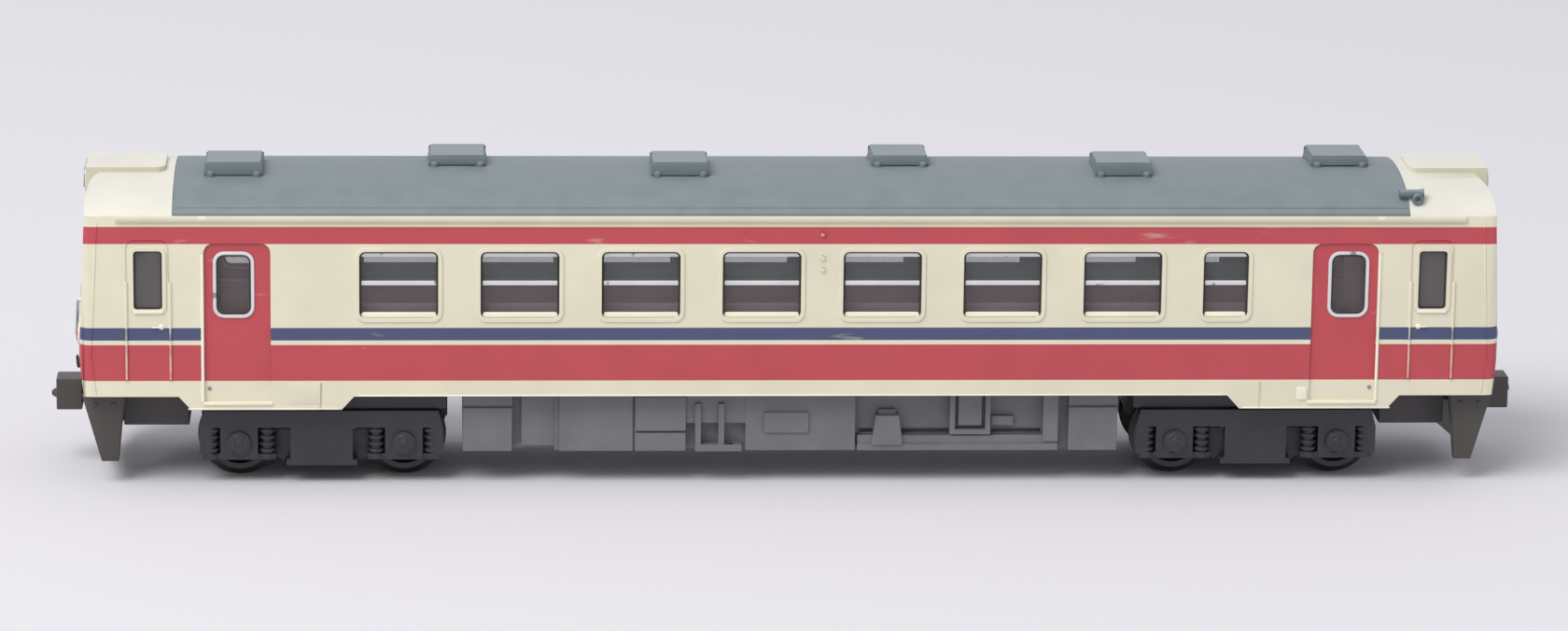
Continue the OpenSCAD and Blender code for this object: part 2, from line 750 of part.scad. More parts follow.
module body_shell() {
    color("cornsilk")
    difference() {
        union() {
            difference() {
                union() {
                    body_form();
                    along_y(body_w + 2 * rim_h) main_windows(rim_w);
                    along_y(body_w + 2 * rim_h) cab_windows(rim_w);
                    gutters();
                    handrails();
                    door_ridges();
                    side_lamps();
                }
                body_hollow();
            }
            floor_ledges();
            for (end = [1, 2]) at_end(end) lamp_housing();
        }
        along_y(2 * body_w) side_openings(0);
        door_recesses();
        cab_door_grooves();
        panel_joints();
        block([-panel_half_l, -body_w, eave_z], [panel_half_l, body_w, 2 * roof_z]);
        for (end = [1, 2]) {
            at_end(end) {
                front_openings();
                headlamp_holes();
            }
        }
        horn_peg(fit_gap);
    }
}

// Ventilators stand in turn on the near and the far side of the middle line
vent_count = 6;
vent_pitch = 2 * (panel_half_l - vent_from_end) / (vent_count - 1);
function vent_x(i) = (i - (vent_count + 1) / 2) * vent_pitch;
function vent_y(i) = (i % 2 == 1 ? -1 : 1) * vent_shift;

module vent_peg(i, gap) {
    translate([vent_x(i), vent_y(i), roof_z - 2 * roof_t])
        cylinder(r = peg_r + gap, h = 2 * roof_t + vent_h / 2);
}

module roof_panel() {
    eave_y = shoulder_y + (shoulder_r - roof_t) * cos(eave_start(roof_t));
    color("lightslategray")
    difference() {
        union() {
            along_x(2 * (panel_half_l - fit_gap))
                difference() {
                    polygon(both_halves(roof_line(0, eave_angle)));
                    polygon(both_halves(roof_line(roof_t, eave_start(roof_t))));
                }
            for (i = [-1.5:1:1.5], s = [0, 1])
                mirror([0, s, 0])
                    block([i * clip_pitch - clip_l / 2, eave_y - fit_gap - clip_t, eave_z - clip_h],
                          [i * clip_pitch + clip_l / 2, eave_y - fit_gap, eave_z + clip_t]);
        }
        for (i = [1:vent_count]) vent_peg(i, fit_gap);
    }
}

module vent(i) {
    low = roof_z - vent_h;
    high = roof_z + vent_h;
    color("slategray")
    union() {
        difference() {
            translate([vent_x(i), vent_y(i), 0])
                difference() {
                    intersection() {
                        along_x(through)
                            polygon([[-vent_w / 2, low], [vent_w / 2, low],
                                     [vent_w / 2 - vent_lean, high], [vent_lean - vent_w / 2, high]]);
                        along_y(through)
                            polygon([[-vent_l / 2, low], [vent_l / 2, low],
                                     [vent_l / 2 - vent_lean, high], [vent_lean - vent_l / 2, high]]);
                    }
                    for (s = [0, 1])
                        mirror([0, s, 0])
                            block([-vent_arch_l / 2, vent_w / 2 - vent_lean - vent_arch_d, low - bite],
                                  [vent_arch_l / 2, vent_w, roof_z + vent_arch_h]);
                }
            along_x(through) polygon(both_halves(concat([[half_w, 0]], roof_line(0, eave_angle))));
        }
        vent_peg(i, 0);
    }
}

// One horn, on the near side of end 2
module horn() {
    tube_x = half_l - horn_from_end - horn_back;
    tube_z = roof_height(horn_y) + horn_stand;
    color("gray")
    union() {
        horn_peg(0);
        translate([tube_x - horn_l / 2, -horn_y, tube_z])
            rotate([0, 90, 0]) cylinder(r = horn_r, h = horn_l);
        translate([tube_x + horn_l / 2 - horn_mouth_r, -horn_y, tube_z])
            rotate([0, 90, 0]) cylinder(r1 = horn_r, r2 = horn_mouth_r, h = horn_mouth_r);
    }
}

// Three sash bars across each main window's pane
module sash_bars() {
    intersection() {
        main_windows(-fit_gap);
        for (z = [win_low + sash_h / 2, win_low + sash_mid, win_high - sash_h / 2])
            translate([0, z]) square([body_l, sash_h], center = true);
    }
}

module door_frames() {
    difference() {
        door_windows(-fit_gap);
        door_windows(-fit_gap - door_frame_w);
    }
}

// What stands out of the panes' faces on the far side
module on_panes(out) {
    face = half_w - pane_recess;
    intersection() {
        along_y(2 * body_w) children();
        block([-through, face - glazing_t / 2, 0], [through, face + out, through]);
    }
}

module side_glazing(side) {
    outer = inner_half_w - fit_gap;
    reach = half_l - end_rake - wall_t - 2 * glazing_t - end_gap;
    color("lightgray", 0.5)
    mirror([0, side == "near" ? 1 : 0, 0])
    union() {
        block([-reach, outer - glazing_t, win_low - glazing_lap],
              [reach, outer, win_high + glazing_lap]);
        intersection() {
            along_y(2 * body_w) side_openings(-fit_gap);
            block([-through, outer - glazing_t / 2, 0], [through, half_w - pane_recess, through]);
        }
        on_panes(sash_out) sash_bars();
        on_panes(door_frame_out) door_frames();
    }
}
// Gap between the side strips and the end panes
end_gap = 0.9;

module end_glazing(end) {
    back = wall_t + fit_gap;
    plate_half_w = inner_half_w - fit_gap - glazing_t - fit_gap;
    plate_z = sill_z + screen_sill + screen_h / 2;
    color("lightgray", 0.5)
    at_end(end)
    union() {
        intersection() {
            end_layer(pane_recess, back + glazing_t / 2);
            end_zone() front_windows(-fit_gap);
        }
        intersection() {
            end_layer(back, back + glazing_t);
            end_zone()
                polygon(round_box(0, plate_z, 2 * plate_half_w, screen_h + 2 * glazing_lap, win_r));
        }
    }
}

module headlamp_lens(end) {
    color("white")
    at_end(end)
        for (y = [-headlamp_y, headlamp_y])
            translate([head_front - headlamp_l, y, headlamp_z])
                rotate([0, 90, 0]) cylinder(r = headlamp_r - fit_gap, h = headlamp_l);
}

module tail_lamp_lens(end) {
    color("firebrick")
    at_end(end)
        for (y = [-tail_y, tail_y])
            translate([half_l - end_rake - wall_t, y, sill_z + tail_h])
                rotate([0, 90, 0]) cylinder(r = tail_r - fit_gap, h = end_rake + wall_t + tail_proud);
}

module chassis_floor() {
    boss_low = frame_top - bolster_set + run_gap;
    reach = half_l - end_tuck - wall_t - floor_end_gap;
    color("dimgray")
    difference() {
        union() {
            block([-reach, fit_gap - inner_half_w, floor_z], [reach, inner_half_w - fit_gap, floor_top]);
            for (x = [-bogie_x, bogie_x])
                translate([x, 0, boss_low]) cylinder(r = boss_r, h = floor_z - boss_low + bite);
        }
        for (x = [-bogie_x, bogie_x])
            translate([x, 0, boss_low - bite]) cylinder(r = screw_r + fit_gap, h = through);
        for (x = [-coupler_x, coupler_x])
            translate([x, 0, floor_z - bite]) cylinder(r = pin_r + fit_gap, h = through);
        for (x = [-equip_peg_pitch / 2, equip_peg_pitch / 2])
            translate([x, 0, floor_z - bite]) cylinder(r = equip_peg_r + fit_gap, h = through);
    }
}
// Depth of the bolster's top below the top of the side frames
bolster_set = 0.1;

module ballast_weight() {
    color("silver")
    block([-ballast_l / 2, -ballast_w / 2, floor_top],
          [ballast_l / 2, ballast_w / 2, floor_top + ballast_t]);
}

module seat_moulding() {
    base_top = floor_top + seats_base_t;
    reach = half_l - max(end_tuck, end_rake) - wall_t - seats_end_gap;
    outer_y = inner_half_w - fit_gap - glazing_t - fit_gap - side_play;
    wall_top = win_low - glazing_lap - fit_gap;
    inner_y = outer_y - seats_wall_t;
    color("saddlebrown")
    difference() {
        union() {
            block([-reach, -outer_y, floor_top], [reach, outer_y, base_top]);
            for (s = [0, 1])
                mirror([0, s, 0])
                    block([-reach, inner_y, floor_top], [reach, outer_y, wall_top]);
            for (s = [0, 1])
                mirror([s, 0, 0]) {
                    block([reach - cab_l - back_t, -outer_y, floor_top],
                          [reach - cab_l, outer_y, base_top + bulkhead_h]);
                    block([reach - desk_d, -outer_y, floor_top], [reach, outer_y, base_top + desk_h]);
                }
            for (i = [0:win_count], s = [0, 1])
                translate([win_first_x + (i - 0.5) * win_pitch, 0, 0])
                    mirror([0, s, 0])
                        bench(inner_y, base_top);
        }
        block([-ballast_l / 2 - fit_gap, -ballast_w / 2 - fit_gap, floor_top - bite],
              [ballast_l / 2 + fit_gap, ballast_w / 2 + fit_gap, floor_top + ballast_t + fit_gap]);
    }
}
// Gap between the seat moulding and the side strips
side_play = 0.15;

// Two seats back to back, from the side wall towards the aisle
module bench(wall_y, base_top) {
    block([-bench_d - back_t / 2, wall_y - bench_w, base_top - bite],
          [bench_d + back_t / 2, wall_y + bite, base_top + bench_h]);
    block([-back_t / 2, wall_y - bench_w, base_top - bite],
          [back_t / 2, wall_y + bite, base_top + back_h]);
}

// Reach of a bogie's corners towards the equipment at full swivel
bogie_half_w = back_to_back / 2 + wheel_w + wheel_side_gap + frame_t;
bogie_swing = bogie_l / 2 * cos(swivel) + (bogie_half_w + cap_out) * sin(swivel);
equip_half_l = bogie_x - bogie_swing - equip_gap;
equip_core_w = equip_w - 2 * relief_d;
equip_h = floor_z - equip_z;

// Boxes on a long face of the equipment, between the two end boxes. Each row gives the start and the
// end along X, the bottom and the top above the underside, and the share of the relief's depth.
whole = equip_h;
side_boxes = [
    [-23.0, -20.2, 0.4, whole, 0.6],
    [-20.2, -9.0, 0, whole, 0.75],
    [-19.8, -13.5, 0, whole, 1],
    [-13.3, -9.0, 0, 1.6, 1],
    [-13.3, -9.0, 1.8, 4.8, 1.15],
    [-8.2, -7.7, 0.5, 4.2, 1.15],
    [-6.2, -5.7, 0.5, 4.2, 1.15],
    [-8.2, -4.2, 0, 0.6, 1.2],
    [-9.0, -3.9, 2.4, whole, 0.85],
    [-3.9, 5.5, 0, whole, 0.9],
    [-2.3, 1.5, 1.6, 3.4, 1.1],
    [5.7, 22.9, 0, 0.6, 1],
    [5.7, 22.9, 0.6, 1.3, 0.85],
    [7.5, 9.0, 3.0, 3.5, 0.5],
    [17.2, 19.1, 2.1, 2.9, 0.5],
    [21.6, 22.9, 0.8, whole, 1.05]
];
// A tapered tank and a framed louvre panel, as their places along X
tank_x = [6.9, 9.6];
tank_z = [0.5, 3.1];
tank_taper = 0.35;
tank_out = 1.15;
panel_x = [13.6, 17.1];
panel_low = 1.4;
panel_frame = 0.45;
panel_groove = 0.3;
// Deep groove above the ledge on the right, behind the tank and the panel
deep_x = [5.9, 21.5];
deep_z = [1.35, 1.7];
deep_d = 0.6;
// Groove below the ledge of an end box
ledge_z = 3.8;
ledge_groove = 0.25;

// The relief on one long face, drawn on the near side
module equipment_relief() {
    face = -equip_core_w / 2;
    for (b = side_boxes)
        block([b[0], face - b[4] * relief_d, equip_z + b[2]], [b[1], face + bite, equip_z + b[3]]);
    for (x = [-equip_half_l, equip_half_l - end_box_l])
        difference() {
            block([x, face - relief_d, equip_z], [x + end_box_l, face + bite, floor_z]);
            block([x - bite, face - 2 * relief_d, equip_z + ledge_z],
                  [x + end_box_l + bite, face - relief_d + ledge_groove, equip_z + ledge_z + ledge_groove]);
        }
    translate([0, face - tank_out * relief_d / 2 + bite / 2, equip_z])
        along_y(tank_out * relief_d + bite)
            polygon([[tank_x[0], tank_z[0]], [tank_x[1], tank_z[0]],
                     [tank_x[1] - tank_taper, tank_z[1]], [tank_x[0] + tank_taper, tank_z[1]]]);
    difference() {
        block([panel_x[0], face - relief_d, equip_z + panel_low], [panel_x[1], face + bite, floor_z]);
        block([panel_x[0] + panel_frame, face - 2 * relief_d, equip_z + panel_low + panel_frame],
              [panel_x[1] - panel_frame, face - bite, floor_z + bite]);
    }
    block([panel_x[0] + panel_frame + panel_groove, face - relief_d + bite,
           equip_z + panel_low + panel_frame + panel_groove],
          [panel_x[1] - panel_frame - panel_groove, face + bite, floor_z]);
}

module underfloor_equipment() {
    pocket_l = (2 * equip_half_l - rib_t) / pocket_count - rib_t;
    color("gray")
    difference() {
        union() {
            difference() {
                block([-equip_half_l, -equip_core_w / 2, equip_z],
                      [equip_half_l, equip_core_w / 2, floor_z]);
                for (turn = [0, 180])
                    rotate([0, 0, turn])
                        block([deep_x[0], -equip_core_w / 2 - bite, equip_z + deep_z[0]],
                              [deep_x[1], deep_d - equip_core_w / 2, equip_z + deep_z[1]]);
            }
            for (turn = [0, 180]) rotate([0, 0, turn]) equipment_relief();
            for (x = [-equip_peg_pitch / 2, equip_peg_pitch / 2])
                translate([x, 0, equip_z]) cylinder(r = equip_peg_r, h = floor_top - equip_z);
        }
        for (i = [0:pocket_count - 1], s = [0, 1])
            mirror([0, s, 0])
                translate([-equip_half_l + rib_t + i * (pocket_l + rib_t), equip_peg_r + rib_t, 0])
                    block([0, 0, equip_z + pocket_floor],
                          [pocket_l, equip_core_w / 2 - equip_peg_r - 2 * rib_t, floor_z + bite]);
    }
}

// Bogie, drawn about its own pivot and then set at its end
frame_in = back_to_back / 2 + wheel_w + wheel_side_gap;
frame_mid = frame_in + frame_t / 2;
frame_lean = 0.4;
leg_l = 1.1;
leg_drop = 1.1;
spring_gap = 0.05;
spring_x = axle_box_l / 2 + spring_r + spring_gap;
beam_low = frame_top - beam_h;
plank_t = 0.5;
plank_lip = 0.35;
cover_half_w = back_to_back / 2 - swing_gap;

// A moulded coil spring between a spring seat and the beam
module moulded_spring() {
    low = axle_z - axle_box_drop + plank_t;
    pitch = (beam_low - low) / spring_rings;
    translate([0, 0, low - plank_t]) cylinder(r = spring_r, h = plank_t);
    translate([0, 0, low - bite]) cylinder(r = spring_groove_r, h = beam_low - low + 2 * bite);
    for (i = [0:spring_rings - 1])
        translate([0, 0, low + (i + 0.25) * pitch]) cylinder(r = spring_r, h = pitch / 2);
}

module side_frame() {
    difference() {
        union() {
            translate([0, frame_mid, 0])
                along_y(frame_t) {
                    polygon(both_sides([
                        [bogie_l / 2 - leg_l, beam_low], [bogie_l / 2 - leg_l, axle_z - leg_drop],
                        [bogie_l / 2, axle_z - leg_drop], [bogie_l / 2, beam_low],
                        [bogie_l / 2 - frame_lean, frame_top]]));
                    polygon(both_sides([
                        [plank_l / 2, axle_z - plank_drop], [plank_l / 2, axle_z - plank_drop + plank_t],
                        [plank_l / 2 - plank_lip, axle_z - plank_drop + plank_t],
                        [plank_l / 2 - plank_lip, frame_top - bite]]));
                    for (x = [-wheelbase / 2, wheelbase / 2])
                        translate([x, 0])
                            polygon(both_sides([[axle_box_l / 2, axle_z - axle_box_drop],
                                                [axle_box_l / 2, frame_top - bite]]));
                }
            for (x = [-wheelbase / 2, wheelbase / 2])
                translate([x, frame_mid, axle_z])
                    rotate([-90, 0, 0]) cylinder(r = cap_r, h = frame_t / 2 + cap_out);
            for (x = [-wheelbase / 2, wheelbase / 2], dx = [-spring_x, spring_x])
                translate([x + dx, frame_mid, 0]) moulded_spring();
            for (x = [-wheelbase / 2, wheelbase / 2])
                block([x - spring_x - spring_r, frame_mid - spring_groove_r, axle_z - axle_box_drop],
                      [x + spring_x + spring_r, frame_mid + spring_groove_r,
                       axle_z - axle_box_drop + plank_t]);
        }
        for (x = [-wheelbase / 2, wheelbase / 2])
            translate([x, frame_in - bite, axle_z])
                rotate([-90, 0, 0])
                    cylinder(r = journal_r + run_gap, h = bite + journal_l + tip_l + run_gap);
    }
}

module bogie_frame(end) {
    bolster_top = frame_top - bolster_set;
    color("darkslategray")
    at_end(end)
    translate([bogie_x, 0, 0])
    difference() {
        union() {
            for (s = [0, 1]) mirror([0, s, 0]) side_frame();
            block([-bolster_half_l, -frame_in - bite, bolster_top - bolster_t],
                  [bolster_half_l, frame_in + bite, bolster_top]);
            block([-cover_in, -cover_half_w, bolster_top - bolster_t],
                  [cover_out, cover_half_w, floor_z - swing_gap]);
        }
        translate([0, 0, bolster_top]) cylinder(r = boss_r + swing_gap, h = 2 * bolster_t);
        translate([0, 0, bolster_top - 2 * bolster_t])
            cylinder(r = screw_r + run_gap, h = 3 * bolster_t);
    }
}

module bogie_screw(end) {
    bolster_low = frame_top - bolster_set - bolster_t;
    color("silver")
    at_end(end)
    translate([bogie_x, 0, bolster_low - run_gap - screw_head_t])
    union() {
        cylinder(r = screw_head_r, h = screw_head_t);
        cylinder(r = screw_r, h = floor_top - bolster_low + run_gap + screw_head_t);
    }
}

// Wheelsets are numbered from end 1 to end 2
function wheelset_x(i) = (i < 3 ? -bogie_x : bogie_x) + (i % 2 == 1 ? -wheelbase / 2 : wheelbase / 2);

module axle(i) {
    shoulder = frame_in - run_gap;
    color("silver")
    translate([wheelset_x(i), 0, axle_z])
    union() {
        rotate([90, 0, 0]) cylinder(r = axle_r, h = 2 * shoulder, center = true);
        rotate([90, 0, 0]) cylinder(r = journal_r, h = 2 * (frame_in + journal_l), center = true);
        for (turn = [90, -90])
            rotate([turn, 0, 0])
                translate([0, 0, frame_in + journal_l]) cylinder(r1 = journal_r, r2 = tip_r, h = tip_l);
    }
}

module wheel(i, side) {
    tread_r = tread_d / 2;
    flange_r = tread_r + flange_h;
    tread_drop = 0.05;
    flange_tip = flange_w / 3;
    bore_r = axle_r + fit_gap;
    color("dimgray")
    translate([wheelset_x(i), side == "near" ? -back_to_back / 2 : back_to_back / 2, axle_z])
        rotate([side == "near" ? 90 : -90, 0, 0])
            rotate_extrude()
                polygon([
                    [bore_r, 0], [flange_r - flange_tip, 0],
                    [flange_r, flange_tip], [flange_r, 2 * flange_tip],
                    [tread_r, flange_w], [tread_r - tread_drop, wheel_w], [tread_r - rim_t, wheel_w],
                    [tread_r - rim_t - dish_d / 3, wheel_w - dish_d],
                    [hub_r + dish_d / 3, wheel_w - dish_d], [hub_r, wheel_w], [bore_r, wheel_w]]);
}

// Coupler box: a housing with a slot, open to the front, that the coupler swings in
slot_half_w = box_w / 2 - box_wall;
slot_half_h = shank_t / 2 + run_gap;
leaf_x = eye_r + fit_gap;
leaf_half_w = slot_half_w + leaf_seat;
box_low = floor_z - box_drop;

module coupler_box(end) {
    rear = -box_l / 2;
    color("darkslategray")
    at_end(end)
    translate([coupler_x, 0, 0])
    difference() {
        block([rear, -box_w / 2, box_low], [box_l / 2, box_w / 2, floor_z]);
        block([rear + box_wall, -slot_half_w, coupler_z - slot_half_h],
              [box_l, slot_half_w, coupler_z + slot_half_h]);
        translate([0, 0, box_low - bite]) cylinder(r = pin_r + fit_gap, h = box_drop + 2 * bite);
        translate([0, 0, box_low - bite]) cylinder(r = pin_head_r + fit_gap, h = bite + pin_head_t);
        block([-leaf_x - leaf_t - fit_gap, -leaf_half_w - fit_gap, coupler_z - leaf_h / 2 - fit_gap],
              [-leaf_x + fit_gap, leaf_half_w + fit_gap, coupler_z + leaf_h / 2 + fit_gap]);
    }
}

module coupler_spring(end) {
    color("silver")
    at_end(end)
    translate([coupler_x, 0, coupler_z])
        block([-leaf_x - leaf_t, -leaf_half_w, -leaf_h / 2], [-leaf_x, leaf_half_w, leaf_h / 2]);
}

module coupler_pin(end) {
    color("silver")
    at_end(end)
    translate([coupler_x, 0, box_low])
    union() {
        cylinder(r = pin_head_r, h = pin_head_t);
        cylinder(r = pin_r, h = floor_top - box_low);
    }
}

// The head carries a guide cone on one half of its face and a matching cup in the other
module coupler(end) {
    face_x = coupler_from_end + coupler_reach - coupler_cone_l;
    head_x = face_x - coupler_head_l + coupler_cone_l;
    cone_y = coupler_head_w / 4;
    cone_r = coupler_head_w / 4 - bite;
    color("dimgray")
    at_end(end)
    translate([coupler_x, 0, coupler_z])
    difference() {
        union() {
            difference() {
                translate([0, 0, -shank_t / 2]) cylinder(r = eye_r, h = shank_t);
                block([-2 * eye_r, -2 * eye_r, -shank_t], [eye_flat_d - eye_r, 2 * eye_r, shank_t]);
            }
            block([0, -shank_w / 2, -shank_t / 2], [head_x + bite, shank_w / 2, shank_t / 2]);
            block([head_x, -coupler_head_w / 2, -coupler_head_h / 2],
                  [face_x, coupler_head_w / 2, coupler_head_h / 2]);
            translate([face_x, cone_y, 0])
                rotate([0, 90, 0]) cylinder(r1 = cone_r, r2 = cone_r / 2, h = coupler_cone_l);
        }
        translate([face_x - coupler_cone_l, -cone_y, 0])
            rotate([0, 90, 0]) cylinder(r = cone_r, h = 2 * coupler_cone_l);
        translate([0, 0, -shank_t]) cylinder(r = pin_r + run_gap, h = 2 * shank_t);
    }
}

// Slices at a height, of half of a plough's front and of one of its side plates
module front_slice(z, x) {
    translate([0, 0, z])
        linear_extrude(height = slice_t)
            polygon([[x, 0], [x - plough_sweep, plough_half_w],
                     [x - plough_sweep - plough_t, plough_half_w], [x - plough_t, 0]]);
}
module side_slice(z, x, length) {
    corner_x = x - plough_sweep;
    block([corner_x - length, plough_half_w - plough_t, z], [corner_x, plough_half_w, z + slice_t]);
}
slice_t = 0.01;

// Plough: a front and two side plates under the end, cut out round the coupler
module snow_plough(end) {
    nose_x = half_l + plough_nose;
    low_x = nose_x - plough_lean;
    top_z = floor_z - slice_t;
    gap_half_w = coupler_head_w / 2 + (nose_x - coupler_x) * sin(coupler_swing) + swing_gap;
    color("dimgray")
    at_end(end)
    difference() {
        for (s = [0, 1])
            mirror([0, s, 0]) {
                hull() {
                    front_slice(top_z, nose_x);
                    front_slice(plough_z, low_x);
                }
                hull() {
                    side_slice(top_z, nose_x, plough_side_l);
                    side_slice(plough_z, low_x, plough_low_l);
                }
            }
        block([0, -gap_half_w, coupler_z - coupler_head_h / 2 - swing_gap],
              [body_l, gap_half_w, through]);
    }
}

body_shell();
roof_panel();
for (i = [1:vent_count]) vent(i);
horn();
for (side = ["near", "far"]) side_glazing(side);
for (end = [1, 2]) end_glazing(end);
for (end = [1, 2]) headlamp_lens(end);
for (end = [1, 2]) tail_lamp_lens(end);
chassis_floor();
ballast_weight();
seat_moulding();
underfloor_equipment();
for (end = [1, 2]) bogie_frame(end);
for (end = [1, 2]) bogie_screw(end);
for (i = [1:4]) axle(i);
for (i = [1:4], side = ["near", "far"])
    wheel(i, side);
for (end = [1, 2]) coupler_box(end);
for (end = [1, 2]) coupler(end);
for (end = [1, 2]) coupler_pin(end);
for (end = [1, 2]) coupler_spring(end);
for (end = [1, 2]) snow_plough(end);
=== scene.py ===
# %% [markdown]
# A model railcar coach, dressed in Blender.
# The coach was first made as exact solids: body shell, roof, glazing, seats, floor, bogies, wheels and
# couplers. They arrive here as the frame, in metres, with every piece already in its place. This lesson
# gives each of them its finish, adds the thin trim that a solid does not carry, and never moves a solid.

# %% Load the frame
from math import pi, radians

import bmesh
import bpy
from mathutils import Euler, Matrix, Vector


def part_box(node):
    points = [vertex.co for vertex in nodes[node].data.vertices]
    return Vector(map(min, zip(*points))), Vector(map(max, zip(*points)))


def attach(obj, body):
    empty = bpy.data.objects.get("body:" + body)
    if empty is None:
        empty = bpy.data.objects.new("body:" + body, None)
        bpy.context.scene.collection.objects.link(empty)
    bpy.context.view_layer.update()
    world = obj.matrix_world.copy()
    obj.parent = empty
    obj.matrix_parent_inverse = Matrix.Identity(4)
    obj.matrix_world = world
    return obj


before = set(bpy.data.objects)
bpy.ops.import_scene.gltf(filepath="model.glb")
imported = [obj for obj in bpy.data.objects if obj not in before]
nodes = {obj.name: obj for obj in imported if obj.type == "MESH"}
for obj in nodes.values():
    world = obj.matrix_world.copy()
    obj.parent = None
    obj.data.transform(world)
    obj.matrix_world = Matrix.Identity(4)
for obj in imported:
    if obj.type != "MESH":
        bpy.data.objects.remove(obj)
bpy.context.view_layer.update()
MM = 0.001

# %% [markdown]
# The photograph was taken with a long lens, a little left of the middle and about fourteen degrees above
# the coach. A camera can be placed by eye, or worked out from points whose real place is known. The second
# way was used: window edges, sill and roof line gave the place, the lens and the slight lean.

# %% Camera
CAMERA_PLACE = Vector((-30.3, -522.5, 139.8)) * MM
CAMERA_LENS = 143.2
CAMERA_DOWN = radians(13.63)
CAMERA_RIGHT = radians(3.29)
CAMERA_LEAN = radians(0.74)

camera = bpy.data.objects.new("photo_camera", bpy.data.cameras.new("photo_camera"))
bpy.context.scene.collection.objects.link(camera)
camera.data.sensor_width = 36
camera.data.lens = CAMERA_LENS
camera.data.clip_start = 0.01
camera.location = CAMERA_PLACE
aim = Euler((pi / 2 - CAMERA_DOWN, 0, -CAMERA_RIGHT)).to_matrix()
camera.rotation_euler = (aim @ Matrix.Rotation(CAMERA_LEAN, 3, "Z")).to_euler()
bpy.context.scene.camera = camera
bpy.context.scene.view_settings.view_transform = "Standard"
print("camera stands", round(CAMERA_PLACE.length / MM), "mm from the middle of the coach")

# %% [markdown]
# Colours are picked on screen as numbers from 0 to 255, but Blender mixes light, which is not the same
# scale. One small helper turns screen values into light values, so the colours below can be read off a
# picture of the real model.

# %% Colours
def light_value(screen):
    share = screen / 255
    return share / 12.92 if share <= 0.04045 else ((share + 0.055) / 1.055) ** 2.4


def screen_colour(red, green, blue):
    return (light_value(red), light_value(green), light_value(blue), 1)


CREAM = screen_colour(221, 216, 193)
# Painted highlight: a paler cream for the lit top above the eave.
PALE_TOP_HIGHLIGHT = screen_colour(219, 216, 206)
SHADED_CREAM = screen_colour(200, 196, 172)
# Painted highlight: a brighter cream for the bare ridges, which also show the unprinted plastic.
RIDGE_HIGHLIGHT_CREAM = screen_colour(236, 232, 214)
RED = screen_colour(184, 70, 78)
NAVY = screen_colour(68, 78, 112)
INSIDE = screen_colour(228, 218, 219)
print("cream as light:", [round(v, 3) for v in CREAM[:3]])

# %% [markdown]
# Blender draws light and finishes as nodes with sockets. A socket holds a value of its own, or is linked to
# another node. These helpers keep that short: one feeds a socket, one makes a node with its inputs, and one
# does a sum.

# %% Node helpers
def feed(tree, socket, value):
    """Links a socket to the output of another node, or sets it where a plain value is given."""
    if isinstance(value, bpy.types.NodeSocket):
        tree.links.new(value, socket)
    else:
        socket.default_value = value


def new_node(tree, kind, **inputs):
    made = tree.nodes.new(kind)
    for name, value in inputs.items():
        feed(tree, made.inputs[name.replace("_", " ")], value)
    return made


def maths(tree, operation, *values):
    made = tree.nodes.new("ShaderNodeMath")
    made.operation = operation
    for socket, value in zip(made.inputs, values):
        feed(tree, socket, value)
    return made.outputs[0]


print("node helpers are ready")

# %% [markdown]
# The stage is a plain pale floor under soft light. A small model photographed on a table gets most of its
# light from above, with pale walls all round filling the shadows: its tops are brighter than its sides. So
# the world itself gives an even light, and one wide lamp hangs over the table, a little to the front and the
# left. The world shows the same pale tone to the camera, to glossy surfaces and through glass.

# %% Floor
FLOOR_HALF = 4
FLOOR_TONE = screen_colour(222, 221, 227)
FLOOR_ROUGH = 0.9

floor_mesh = bmesh.new()
bmesh.ops.create_grid(floor_mesh, x_segments=1, y_segments=1, size=FLOOR_HALF)
floor_data = bpy.data.meshes.new("floor")
floor_mesh.to_mesh(floor_data)
floor_mesh.free()
floor_finish = bpy.data.materials.new("pale_floor")
floor_finish.use_nodes = True
floor_shader = floor_finish.node_tree.nodes["Principled BSDF"]
floor_shader.inputs["Base Color"].default_value = FLOOR_TONE
floor_shader.inputs["Roughness"].default_value = FLOOR_ROUGH
floor_data.materials.append(floor_finish)
floor = bpy.data.objects.new("floor", floor_data)
bpy.context.scene.collection.objects.link(floor)
print("floor is", 2 * FLOOR_HALF, "m wide")

# %% Light
BACKDROP = screen_colour(236, 235, 241)
SOFT_TINT = (0.96, 0.98, 1, 1)
SOFT_STRENGTH = 0.6
LAMP_PLACE = Vector((-0.5, -0.55, 0.9))
LAMP_AIM = Vector((0, 0, 0.015))
LAMP_WIDTH = 0.8
LAMP_WATTS = 10.2
LAMP_TINT = (1, 0.98, 0.95)

world = bpy.data.worlds.new("studio")
world.use_nodes = True
bpy.context.scene.world = world
sky = world.node_tree
sky.nodes.clear()
ray = sky.nodes.new("ShaderNodeLightPath")
seen = maths(sky, "MAXIMUM", ray.outputs["Is Camera Ray"], ray.outputs["Is Glossy Ray"])
seen = maths(sky, "MAXIMUM", seen, ray.outputs["Is Transmission Ray"])
soft_light = new_node(sky, "ShaderNodeBackground", Color=SOFT_TINT, Strength=SOFT_STRENGTH)
shown = new_node(sky, "ShaderNodeBackground", Color=BACKDROP)
either = new_node(sky, "ShaderNodeMixShader", Fac=seen)
sky.links.new(soft_light.outputs[0], either.inputs[1])
sky.links.new(shown.outputs[0], either.inputs[2])
new_node(sky, "ShaderNodeOutputWorld", Surface=either.outputs[0])

lamp_data = bpy.data.lights.new("table_lamp", "AREA")
lamp_data.shape = "DISK"
lamp_data.size = LAMP_WIDTH
lamp_data.energy = LAMP_WATTS
lamp_data.color = LAMP_TINT
lamp = bpy.data.objects.new("table_lamp", lamp_data)
bpy.context.scene.collection.objects.link(lamp)
lamp.location = LAMP_PLACE
lamp.rotation_euler = (LAMP_AIM - LAMP_PLACE).to_track_quat("-Z", "Y").to_euler()
print("world light and a lamp of", LAMP_WATTS, "W")

